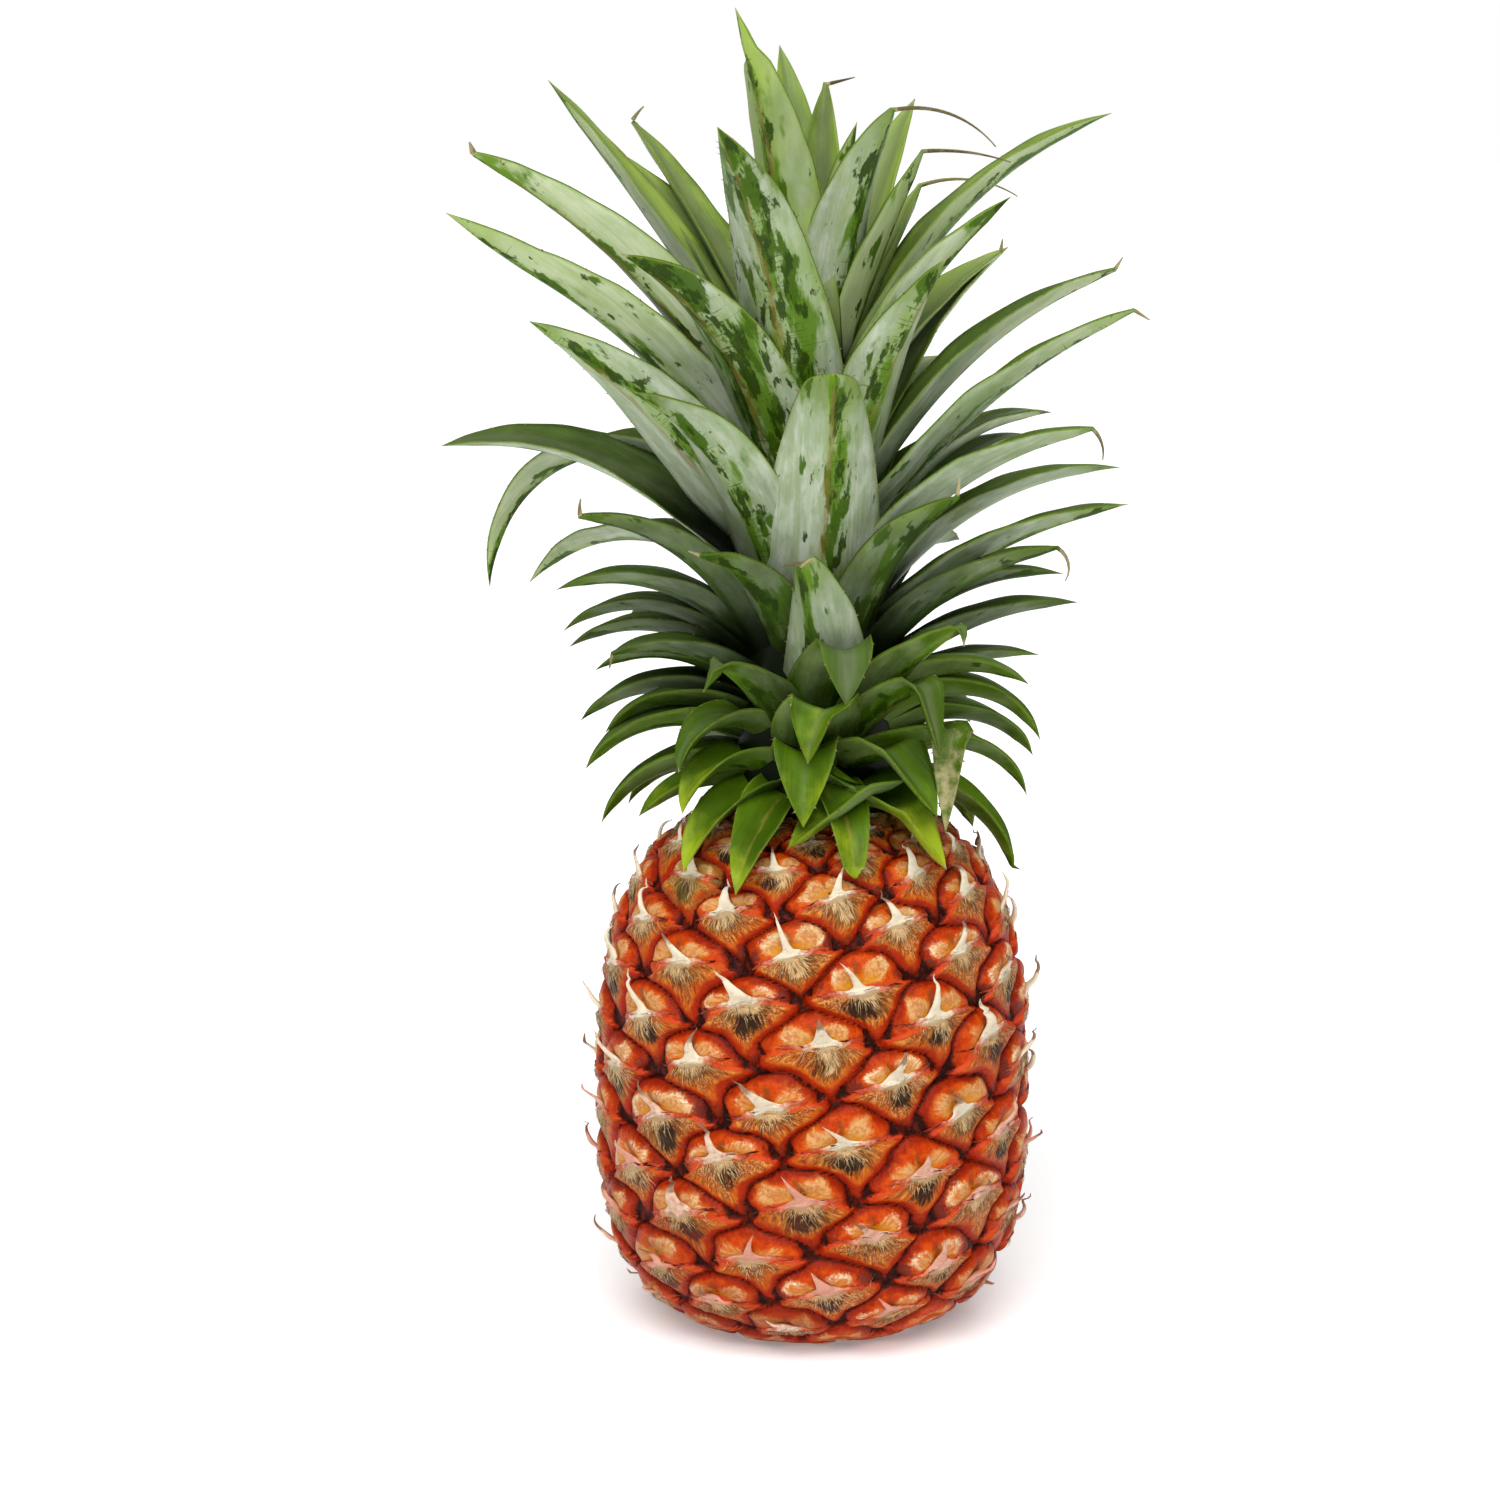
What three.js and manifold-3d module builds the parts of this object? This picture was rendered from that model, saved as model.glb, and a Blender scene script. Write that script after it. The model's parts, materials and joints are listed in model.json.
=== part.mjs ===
// A pineapple standing on its base: the barrel-shaped fruit with its eyes and spines, the cut stalk that it
// grew on, and the crown of leaves on its own short stem.
// Millimetres, +Z up, origin at the centre of the underside, front towards -Y, right towards +X.
import * as THREE from "three";
import { mergeVertices } from "three/addons/utils/BufferGeometryUtils.js";
import Module from "manifold-3d";

const wasm = await Module();
wasm.setup();

// ---- Driving dimensions ----

const FRUIT_RADIUS = 57.5; // at the widest level, in the furrows between the eyes
const WIDEST_Z = 64;
const RISE_ABOVE = 83; // from the widest level to the top of the barrel
const DROP_BELOW = 65; // from the widest level to where the barrel would close below its underside
const SQUARENESS_ABOVE = 2.9; // exponent of the outline: 2 is an ellipse, more is squarer
const SQUARENESS_BELOW = 3.2;
const FRUIT_TOP = WIDEST_Z + RISE_ABOVE;

const GOLDEN_ANGLE = 137.508; // degrees from one eye to the next round the fruit
const STEEP_STEP = 13; // the eyes lie on 13 steep spirals ...
const FLAT_STEP = 8; // ... and 8 flat ones, which make each eye a lozenge
const EYE_RISE = 1.25; // along the outline from one eye to the next, where the barrel is widest
const FIRST_EYE_RADIUS = 22; // the spirals start under the crown, this far from the axis
const FIRST_EYE_ANGLE = 75.7; // degrees round from the front
const LAST_EYE_RADIUS = 16;
const EYE_HEIGHT = 3.6; // from the furrow to the top of an eye's dome

const SPINES_BELOW_Z = 125; // above this level the crown's leaves lie on the fruit
const SPINES_ABOVE_Z = 8;

const STALK_RADIUS = 12;
const STALK_DEPTH = 10;
const CLEARANCE = 0.3; // between pieces that touch
const SHORTEST_EDGE = 0.02;

const STEM_FOOT_Z = FRUIT_TOP + CLEARANCE;
const STEM_TOP_Z = 286;
const STEM_FOOT_RADIUS = 23;
const STEM_TOP_RADIUS = 7;

const BLADE_MIDRIB = 2.2; // thickness of a leaf at its midrib and at its edges
const BLADE_EDGE = 0.7;
const CHANNEL_DEPTH = 5.5;
const THREAD = 1.1; // half-width of a withered thread
const TAIL_START = 0.97; // where a withered thread begins, as a share of the blade's length
const BLUNT_END = 0.96; // where a broken blade is cut off
const BEND_EXPONENT = 1.4; // a leaf bends more towards its tip
const SUBSTEPS = 8; // turns of a midrib between two rings of its blade
const ROOT_SHARE = 0.48; // a leaf springs from inside the stem, at this share of its radius
const OFF_FRUIT = 2.2; // a drooping leaf lies this far off the tops of the eyes
const OFF_SPINES = 8; // and this far where the eyes have spines

// ---- Colours ----

const RIND = new THREE.MeshStandardMaterial({ color: 0xb4531f, roughness: 0.55, metalness: 0 });
const LEAF = new THREE.MeshStandardMaterial({ color: 0x6f8f55, roughness: 0.6, metalness: 0 });
const CUT_STALK = new THREE.MeshStandardMaterial({ color: 0xb9a074, roughness: 0.8, metalness: 0 });

// ---- The crown's leaves ----
// Each row: azimuth (degrees from the front, + towards the right), height of the root on the stem, length along
// the midrib, rise at the root and at the tip (degrees above level) and greatest width. Then what is special:
// swing, how far its heading turns from root to tip; blunt, the share of the width left at a broken tip; waist, the
// share of the width at its root; twist, how far the blade turns about its midrib; fold, the share of the length
// where it is creased, with the rise and heading beyond; tail, a withered thread at the tip, with its length, its
// rise where it begins and ends, and its heading.
const LEAVES = [
  // upright leaves at the heart of the crown
  [-35, 258, 109, 80, 64, 24, { fold: [0.86, 73, -75] }],
  [-22, 226, 125, 75, 38, 30],
  [165, 280, 66, 84, 78, 16, { tail: [8, 15, 15, 90] }],
  [32, 246, 101, 88, 44, 24, { tail: [30, 12, -50, 80] }],
  [80, 258, 74, 74, 64, 18, { tail: [24, 5, -18, 80] }],
  [118, 262, 63, 62, 62, 17, { tail: [28, 20, -32, 95] }],
  [-160, 276, 82, 80, 64, 18],
  [70, 282, 52, 84, 76, 14],
  [-80, 284, 46, 82, 78, 13],
  [-10, 284, 40, 80, 84, 13],
  // long leaves that spread from the upper stem
  [98, 250, 119, 69, 19, 20],
  [68, 238, 92, 70, 38, 22],
  [135, 243, 93, 48, 20, 18, { tail: [4, 85, 85, 120] }],
  [38, 206, 105, 76, 45, 26],
  [6, 190, 86, 70, 60, 34, { blunt: 0.3, waist: 0.35 }],
  [-48, 212, 112, 80, 20, 28, { twist: 12 }],
  [-44, 188, 101, 74, 20, 28, { twist: 10 }],
  [-68, 204, 108, 58, 30, 27, { twist: 40 }],
  [-88, 226, 126, 54, 20, 24, { fold: [0.78, 34, -80], twist: 35 }],
  [-82, 236, 129, 59, 26, 24, { tail: [4, 60, 60, -30], twist: 32 }],
  [-105, 246, 121, 58, 50, 20],
  [-130, 253, 104, 58, 45, 17, { tail: [6, 60, 40, 60] }],
  [-104, 198, 115, 50, -11, 24, { twist: -20 }],
  [-118, 216, 128, 46, -88, 20],
  [-138, 198, 124, 26, -38, 18],
  [98, 219, 113, 62, 17, 21, { tail: [4, 60, 60, 90] }],
  [82, 211, 112, 56, 22, 21, { tail: [5, -30, -30, 80] }],
  [125, 204, 94, 56, -2, 19],
  [72, 203, 90, 52, 10, 23, { tail: [9, -40, -100, 80] }],
  [98, 191, 95, 55, -1, 18],
  [80, 186, 91, 45, 10, 19],
  // middle leaves
  [-62, 170, 94, 72, 2, 23, { tail: [5, 80, 110, -60] }],
  [-34, 166, 78, 82, 4, 22, { tail: [4, 20, 20, -110] }],
  [12, 160, 66, 62, 66, 25, { swing: -50, blunt: 0.3, waist: 0.45, tail: [6, 10, -20, -90] }],
  [44, 166, 88, 80, 24, 25, { tail: [6, 80, 90, 60] }],
  [68, 175, 80, 55, 10, 21, { tail: [10, -30, -120, 80] }],
  [88, 177, 72, 56, -7, 16],
  [84, 171, 73, 47, 0, 18],
  [40, 158, 70, 52, 26, 21, { fold: [0.93, -80, 60] }],
  [96, 165, 60, 45, -9, 14],
  [74, 160, 62, 62, -30, 18],
  [84, 157, 66, 60, -64, 19],
  [104, 157, 61, 40, -56, 18],
  [-85, 178, 74, 58, -21, 19],
  [-100, 171, 75, 62, -40, 16],
  [-110, 175, 70, 42, -34, 16],
  [-76, 170, 56, 52, -20, 18, { tail: [4, -75, -75, -76] }],
  [-92, 167, 59, 54, -33, 16],
  [-96, 167, 60, 34, -44, 18],
  [-84, 164, 53, 40, -47, 16],
  [-80, 161, 59, 32, -53, 19],
  [-34, 163, 52, 46, 22, 19, { fold: [0.84, -55, -90] }],
  // tongues that rise, fold over and hang at the front
  [12, 162, 56, 56, 34, 26, { fold: [0.74, -75, 6] }],
  [4, 156, 49, 44, 26, 28, { fold: [0.7, -65, -46] }],
  [-4, 151, 48, 34, 20, 22, { fold: [0.58, -61, -5] }],
  // small leaves that droop over the top of the fruit
  [35, 158, 66, 44, 10, 18, { fold: [0.7, -70, 50] }],
  [46, 156, 70, 26, 4, 14, { fold: [0.62, -78, -20] }],
  [30, 155, 53, 26, 0, 24, { fold: [0.58, -44, 52] }],
  [-52, 157, 48, 62, -78, 18],
  [-50, 151, 44, 46, -74, 17],
  [98, 151, 59, 40, -68, 15],
  [84, 152, 58, 8, -82, 16],
  [-88, 155, 55, 18, -64, 16],
  [-72, 152, 42, 14, -42, 15],
  [-98, 149, 47, 34, -62, 14],
  [32, 150, 52, 6, -20, 22, { fold: [0.62, -46, 62] }],
  [24, 150.5, 55, 14, 0, 24, { fold: [0.48, -29, -64] }],
  [12, 148, 52, 26, -104, 15],
  [-22, 148.5, 51, 2, -52, 17],
  [-42, 149.5, 48, 12, -64, 16],
];

// How the leaves grow from foot to top of the stem, for those behind: height of the root, length, rise at the
// root, rise at the tip, greatest width.
const HABIT = [
  [150, 50, 10, -62, 22],
  [166, 62, 54, -34, 25],
  [185, 82, 58, -2, 25],
  [208, 100, 56, 14, 24],
  [235, 110, 58, 30, 23],
  [262, 92, 64, 50, 21],
];
const BACK_LEAVES = 24;
const BACK_MIDDLE = 180; // azimuth of the middle of the back, and how far the leaves spread to each side of it
const BACK_SPREAD = 58;
const CROWDING = 1.6; // more than 1 sets them closer together towards the foot

// ---- Small tools ----

const radians = THREE.MathUtils.degToRad;
const mix = THREE.MathUtils.lerp;

// Straight-line reading of a table whose rows start with their key, in rising order.
function readTable(rows, key) {
  const last = rows.length - 1;
  if (key <= rows[0][0]) return rows[0].slice(1);
  if (key >= rows[last][0]) return rows[last].slice(1);
  const k = rows.findIndex((row) => row[0] > key);
  const share = (key - rows[k - 1][0]) / (rows[k][0] - rows[k - 1][0]);
  return rows[k].slice(1).map((value, i) => mix(rows[k - 1][i + 1], value, share));
}

// A closed solid from corner points and triangles.
function solidFrom(points, triangles) {
  const flat = points.flatMap((p) => [p.x, p.y, p.z]);
  const loose = new THREE.BufferGeometry()
    .setAttribute("position", new THREE.Float32BufferAttribute(flat, 3))
    .setIndex(triangles.flat());
  const merged = mergeVertices(loose, 1e-3);
  const kept = [];
  for (let i = 0; i < merged.index.count; i += 3) {
    const [a, b, c] = [0, 1, 2].map((k) => merged.index.getX(i + k));
    if (a !== b && b !== c && c !== a) kept.push(a, b, c);
  }
  const solid = new wasm.Manifold(new wasm.Mesh({
    numProp: 3,
    vertProperties: merged.attributes.position.array,
    triVerts: new Uint32Array(kept),
  }));
  if (solid.volume() < 0) throw new Error("a solid is inside out");
  return solid;
}

// A solid from one of three.js's own closed geometries.
function solidOf(geometry) {
  const bare = (geometry.index ? geometry.toNonIndexed() : geometry.clone());
  bare.deleteAttribute("normal");
  bare.deleteAttribute("uv");
  const points = [];
  for (let i = 0; i < bare.attributes.position.count; i++)
    points.push(new THREE.Vector3().fromBufferAttribute(bare.attributes.position, i));
  const triangles = [];
  for (let i = 0; i < points.length; i += 3) triangles.push([i, i + 1, i + 2]);
  return solidFrom(points, triangles);
}

function meshOf(name, solid, material) {
  const data = solid.getMesh();
  const geometry = new THREE.BufferGeometry()
    .setAttribute("position", new THREE.BufferAttribute(data.vertProperties, data.numProp))
    .setIndex(new THREE.BufferAttribute(data.triVerts, 1));
  geometry.computeVertexNormals();
  const mesh = new THREE.Mesh(geometry, material);
  mesh.name = name;
  return mesh;
}

// A closed skin through rings of equal size: quads between the rings, each split the same way, a fan on the
// first ring and a point after the last.
function loft(rings, apex) {
  const size = rings[0].length;
  const points = [...rings.flat(), apex];
  const tip = points.length - 1;
  const triangles = [];
  for (let k = 2; k < size; k++) triangles.push([0, k, k - 1]);
  for (let ring = 1; ring < rings.length; ring++)
    for (let k = 0; k < size; k++) {
      const [a, b] = [(ring - 1) * size + k, (ring - 1) * size + ((k + 1) % size)];
      const [c, d] = [a + size, b + size];
      // A blade's inner face is its outer face run backwards, so the split turns round halfway.
      if (k < size / 2) triangles.push([a, b, d], [a, d, c]);
      else triangles.push([a, b, c], [b, d, c]);
    }
  const lastRing = (rings.length - 1) * size;
  for (let k = 0; k < size; k++) triangles.push([lastRing + k, lastRing + ((k + 1) % size), tip]);
  return solidFrom(points, triangles);
}

// ---- The fruit ----

// Radius of the barrel in its furrows at a height.
function barrelRadius(z) {
  const above = z > WIDEST_Z;
  const share = Math.abs(z - WIDEST_Z) / (above ? RISE_ABOVE : DROP_BELOW);
  const exponent = above ? SQUARENESS_ABOVE : SQUARENESS_BELOW;
  return share >= 1 ? 0 : FRUIT_RADIUS * (1 - share ** exponent) ** (1 / exponent);
}

// The barrel's outline from the crown down to below the underside, with a running eye number: eyes shrink with
// the radius, so that they keep their shape over the whole fruit.
function traceOutline() {
  const steps = 400;
  const rows = [];
  let eye = 0;
  let before = null;
  for (let i = 0; i <= steps; i++) {
    const angle = mix(90, -90, i / steps);
    const above = angle > 0;
    const exponent = 2 / (above ? SQUARENESS_ABOVE : SQUARENESS_BELOW);
    const reach = Math.abs(Math.sin(radians(angle))) ** exponent;
    const r = FRUIT_RADIUS * Math.max(0, Math.cos(radians(angle))) ** exponent;
    const z = WIDEST_Z + (above ? RISE_ABOVE * reach : -DROP_BELOW * reach);
    if (above ? r < FIRST_EYE_RADIUS : r < LAST_EYE_RADIUS) continue;
    if (before) {
      const stretch = Math.hypot(r - before.r, z - before.z);
      eye += stretch / (EYE_RISE * (r + before.r) / 2 / FRUIT_RADIUS);
    }
    before = { r, z };
    rows.push([eye, r, z]);
  }
  return rows;
}

const OUTLINE = traceOutline();
const OUTLINE_END = OUTLINE[OUTLINE.length - 1][0];
const SPAN = (STEEP_STEP + FLAT_STEP) / 2; // how many eye numbers an eye's lozenge reaches up and down
const FIRST_EYE = Math.ceil(SPAN);
const LAST_EYE = Math.floor(OUTLINE_END - SPAN);

// Angles of the two steps from an eye to its neighbours along the spirals.
const FLAT_TURN = ((FLAT_STEP * GOLDEN_ANGLE + 180) % 360) - 180;
const STEEP_TURN = ((STEEP_STEP * GOLDEN_ANGLE + 180) % 360) - 180;

// A point near an eye: flat and steep are steps along the two spirals, and height is how far it stands out.
function nearEye(eye, flat, steep, height) {
  const number = eye + flat * FLAT_STEP + steep * STEEP_STEP;
  const [r, z] = readTable(OUTLINE, number);
  const [rUp, zUp] = readTable(OUTLINE, number - 0.5);
  const [rDown, zDown] = readTable(OUTLINE, number + 0.5);
  const slope = Math.hypot(rDown - rUp, zDown - zUp);
  const outward = { r: (zUp - zDown) / slope, z: (rDown - rUp) / slope };
  const azimuth = radians(FIRST_EYE_ANGLE + eye * GOLDEN_ANGLE + flat * FLAT_TURN + steep * STEEP_TURN);
  const reach = r + height * outward.r;
  return new THREE.Vector3(reach * Math.sin(azimuth), -reach * Math.cos(azimuth), z + height * outward.z);
}

// An eye's corners, the points of its pillow and those of the spine on it: steps along the flat and the steep
// spiral, and height as a share of the eye's. The bract's fold runs from its left point to its right one, with
// the dome above it. The spine stands on the middle of the fold, and bends up over the dome.
const CORNERS = { top: [-0.5, -0.5, 0], right: [0.5, -0.5, 0], bottom: [0.5, 0.5, 0], left: [-0.5, 0.5, 0] };
const PILLOW = {
  peak: [-0.36, -0.36, 0.7], topRight: [0, -0.4, 0.9], foldRight: [0.33, -0.33, 0.6], lowRight: [0.4, 0, 0.65],
  foot: [0.36, 0.36, 0.45], lowLeft: [0, 0.4, 0.65], foldLeft: [-0.33, 0.33, 0.6], topLeft: [-0.4, 0, 0.9],
  dome: [-0.2, -0.2, 1.05], rootLeft: [-0.13, 0.12, 0.9], rootRight: [0.12, -0.13, 0.9], rootLow: [0.1, 0.1, 0.95],
};
const SPINE = { waistLeft: [-0.18, -0.08, 1.7], waistRight: [-0.08, -0.18, 1.7], waistOut: [-0.1, -0.1, 2.15],
  tip: [-0.46, -0.46, 2.4] };
const facesOf = (text) => text.trim().split("\n").map((line) => line.trim().split(" "));
const EYE_FACES = facesOf(`
  top topLeft peak
  top peak topRight
  top topRight right
  topRight foldRight right
  right foldRight lowRight
  right lowRight bottom
  bottom lowRight foot
  bottom foot lowLeft
  bottom lowLeft left
  left lowLeft foldLeft
  left foldLeft topLeft
  left topLeft top
  dome peak topLeft
  dome topLeft foldLeft
  dome foldLeft rootLeft
  dome rootLeft rootRight
  dome rootRight foldRight
  dome foldRight topRight
  dome topRight peak
  rootLeft foldLeft lowLeft
  rootLeft lowLeft rootLow
  rootLow lowLeft foot
  rootLow foot lowRight
  rootLow lowRight rootRight
  rootRight lowRight foldRight`);
const SPINE_FACES = facesOf(`
  rootLeft rootLow waistOut
  rootLeft waistOut waistLeft
  rootLow rootRight waistRight
  rootLow waistRight waistOut
  rootRight rootLeft waistLeft
  rootRight waistLeft waistRight
  waistLeft waistOut tip
  waistOut waistRight tip
  waistRight waistLeft tip`);
const BARE_FACES = facesOf("rootLeft rootLow rootRight");

// The rind: one pillow for each eye, which shares its furrows with its neighbours, closed by a fan at each end.
function rind() {
  const points = [];
  const triangles = [];
  for (let eye = FIRST_EYE; eye <= LAST_EYE; eye++) {
    const [r, z] = readTable(OUTLINE, eye);
    const spiny = z < SPINES_BELOW_Z && z > SPINES_ABOVE_Z;
    const place = {};
    for (const [name, [flat, steep, share]] of Object.entries({ ...CORNERS, ...PILLOW, ...(spiny ? SPINE : {}) }))
      place[name] = points.push(nearEye(eye, flat, steep, EYE_HEIGHT * share * r / FRUIT_RADIUS)) - 1;
    const faces = [...EYE_FACES, ...(spiny ? SPINE_FACES : BARE_FACES)];
    triangles.push(...faces.map((face) => face.map((name) => place[name])));
  }
  return closeEnds(points, triangles);
}

// Joins the open edges of the patches to a point on the axis at each end.
function closeEnds(points, triangles) {
  const place = new Map();
  const unique = [];
  const index = points.map((p) => {
    const key = [p.x, p.y, p.z].map((v) => Math.round(v * 100)).join();
    if (!place.has(key)) {
      place.set(key, unique.length);
      unique.push(p);
    }
    return place.get(key);
  });
  const faces = triangles.map((t) => t.map((v) => index[v]));
  const edges = new Set(faces.flatMap(([a, b, c]) => [`${a},${b}`, `${b},${c}`, `${c},${a}`]));
  const top = unique.push(new THREE.Vector3(0, 0, FRUIT_TOP)) - 1;
  const bottom = unique.push(new THREE.Vector3(0, 0, WIDEST_Z - DROP_BELOW)) - 1;
  for (const edge of edges) {
    const [a, b] = edge.split(",").map(Number);
    if (!edges.has(`${b},${a}`)) faces.push([b, a, unique[a].z > WIDEST_Z ? top : bottom]);
  }
  return solidFrom(unique, faces);
}

function fruit(socket) {
  const below = solidOf(new THREE.BoxGeometry(200, 200, 40).translate(0, 0, -20));
  return rind().subtract(below).subtract(socket);
}

// ---- The stalk ----

// The end of the stalk, cut level with the underside.
function stalk(radius, depth) {
  return solidOf(new THREE.CylinderGeometry(radius, radius, depth, 20)
    .rotateX(Math.PI / 2).translate(0, 0, depth / 2));
}

// ---- The crown ----

function stemRadius(z) {
  return mix(STEM_FOOT_RADIUS, STEM_TOP_RADIUS, (z - STEM_FOOT_Z) / (STEM_TOP_Z - STEM_FOOT_Z));
}

function stem() {
  const outline = [[0, STEM_FOOT_Z], [STEM_FOOT_RADIUS, STEM_FOOT_Z], [STEM_TOP_RADIUS, STEM_TOP_Z], [0, STEM_TOP_Z]];
  return solidOf(new THREE.LatheGeometry(outline.map(([r, z]) => new THREE.Vector2(r, z)), 12)
    .rotateX(Math.PI / 2));
}

// Moves a point that a drooping leaf would put into the fruit out to where it lies clear of eyes and spines.
function clearOfFruit(point) {
  const r = Math.hypot(point.x, point.y);
  const off = EYE_HEIGHT + mix(OFF_SPINES, OFF_FRUIT, THREE.MathUtils.smoothstep(point.z, SPINES_BELOW_Z - 4, 136));
  const grown = (FRUIT_RADIUS + off) / FRUIT_RADIUS;
  const share = Math.max(0, (point.z - WIDEST_Z) / (RISE_ABOVE + off));
  const depth = (r / (FRUIT_RADIUS * grown)) ** SQUARENESS_ABOVE + share ** SQUARENESS_ABOVE;
  if (depth >= 1) return point;
  const push = depth ** (-1 / SQUARENESS_ABOVE);
  return new THREE.Vector3(point.x * push, point.y * push, WIDEST_Z + (point.z - WIDEST_Z) * push);
}

// A leaf's midrib as a list of places from root to tip, each with its share of the blade's length and its heading.
function midrib([azimuth, rootZ, length, riseRoot, riseTip, , special = {}]) {
  const { swing = 0, blunt, fold, tail } = special;
  const steps = length > 75 ? 6 : length > 56 ? 5 : 4;
  const shares = Array.from({ length: steps }, (_, i) => (i + 1) / steps);
  if (fold) shares[Math.round(fold[0] * steps) - 1] = fold[0];
  if (blunt) shares.splice(-1, 0, BLUNT_END);
  if (tail) shares[shares.length - 1] = TAIL_START;
  const reach = stemRadius(rootZ) * ROOT_SHARE;
  const start = radians(azimuth);
  const point = new THREE.Vector3(reach * Math.sin(start), -reach * Math.cos(start), rootZ);
  const places = [{ share: 0, heading: azimuth, point: point.clone() }];
  const advance = (distance, rise, heading) => {
    const level = distance * Math.cos(radians(rise));
    point.x += level * Math.sin(radians(heading));
    point.y -= level * Math.cos(radians(heading));
    point.z += distance * Math.sin(radians(rise));
  };
  let before = 0;
  for (const share of shares) {
    for (let i = 0; i < SUBSTEPS; i++) {
      const middle = mix(before, share, (i + 0.5) / SUBSTEPS);
      const folded = fold && middle > fold[0];
      const rise = folded ? fold[1] : mix(riseRoot, riseTip, middle ** BEND_EXPONENT);
      advance(length * (share - before) / SUBSTEPS, rise, folded ? fold[2] : azimuth + swing * middle);
    }
    const heading = fold && share > fold[0] ? fold[2] : azimuth + swing * share;
    places.push({ share, heading, point: point.clone() });
    before = share;
  }
  const tailSteps = !tail ? 0 : tail[0] > 15 ? 3 : 1;
  for (let i = 1; i <= tailSteps; i++) {
    advance(tail[0] / tailSteps, mix(tail[1], tail[2], (i - 0.5) / tailSteps), tail[3]);
    places.push({ share: 1, heading: tail[3], point: point.clone() });
  }
  return places;
}

// A blade's half-width along its length: widest before the middle, then tapering to a point or a blunt end.
function halfWidth(width, share, { blunt = 0, waist = 0.7 }) {
  const body = waist + (1 - waist) * Math.min(1, share / 0.4);
  const taper = blunt + (1 - blunt) * (1 - share ** 2.8);
  return Math.max(width / 2 * body * (share < 1 ? taper : 0), THREAD);
}

// A blade is a channel, open towards the axis: deep where it clasps the stem, and flatter outwards.
function channelDepth(half, share) {
  return Math.min(CHANNEL_DEPTH, half * mix(0.85, 0.6, Math.min(1, share * 1.6)));
}

function leaf(row) {
  const [, , , , , width, special = {}] = row;
  const places = midrib(row);
  const points = places.map((place) => clearOfFruit(place.point));
  const apex = points[points.length - 1];
  const rings = places.slice(0, -1).map(({ share, heading }, i) => {
    const side = new THREE.Vector3(Math.cos(radians(heading)), Math.sin(radians(heading)), 0);
    const along = points[i + 1].clone().sub(points[Math.max(0, i - 1)]).normalize();
    side.addScaledVector(along, -side.dot(along)).normalize();
    const inner = new THREE.Vector3().crossVectors(along, side).normalize();
    const turn = radians(special.twist ?? 0) * Math.min(1, share / 0.3);
    side.applyAxisAngle(along, turn);
    inner.applyAxisAngle(along, turn);
    const half = halfWidth(width, share, special);
    const lift = channelDepth(half, share);
    const thick = Math.min(BLADE_MIDRIB, half * 0.9) / 2;
    const at = (across, up) => points[i].clone().addScaledVector(side, across * half).addScaledVector(inner, up);
    return [at(-1, lift - BLADE_EDGE / 2), at(0, -thick), at(1, lift - BLADE_EDGE / 2),
      at(1, lift + BLADE_EDGE / 2), at(0, thick), at(-1, lift + BLADE_EDGE / 2)];
  });
  return loft(rings, apex);
}

// The leaves behind: spread over the back of the stem from foot to top, each by the golden share of the arc.
function backLeaves() {
  const golden = 0.618034;
  return Array.from({ length: BACK_LEAVES }, (_, i) => {
    const azimuth = BACK_MIDDLE + BACK_SPREAD * (2 * ((i * golden) % 1) - 1);
    const z = mix(HABIT[0][0], HABIT[HABIT.length - 1][0], (i / (BACK_LEAVES - 1)) ** CROWDING);
    const [length, riseRoot, riseTip, width] = readTable(HABIT, z);
    return [azimuth, z, length, riseRoot, riseTip, width];
  });
}

// The stem with all its leaves. Hollows that the leaves close off between them are filled, and edges too short
// to be of use are closed up.
function crown() {
  const grown = wasm.Manifold.union([stem(), ...[...LEAVES, ...backLeaves()].map(leaf)]);
  const outside = grown.decompose().reduce((most, piece) => (piece.volume() > most.volume() ? piece : most));
  return outside.simplify(SHORTEST_EDGE);
}

const pineapple = new THREE.Group();
pineapple.add(meshOf("fruit", fruit(stalk(STALK_RADIUS + CLEARANCE, STALK_DEPTH)), RIND));
pineapple.add(meshOf("stalk", stalk(STALK_RADIUS, STALK_DEPTH - CLEARANCE), CUT_STALK));
pineapple.add(meshOf("crown", crown(), LEAF));

export default pineapple;
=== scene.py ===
"""A whole pineapple standing on a pale floor: barrel-shaped fruit with spined eyes, and its crown of leaves.

Sizes in the tables are millimetres, with +Z up and the front towards -Y; everything is put in as metres.
"""
import json
import math

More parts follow.
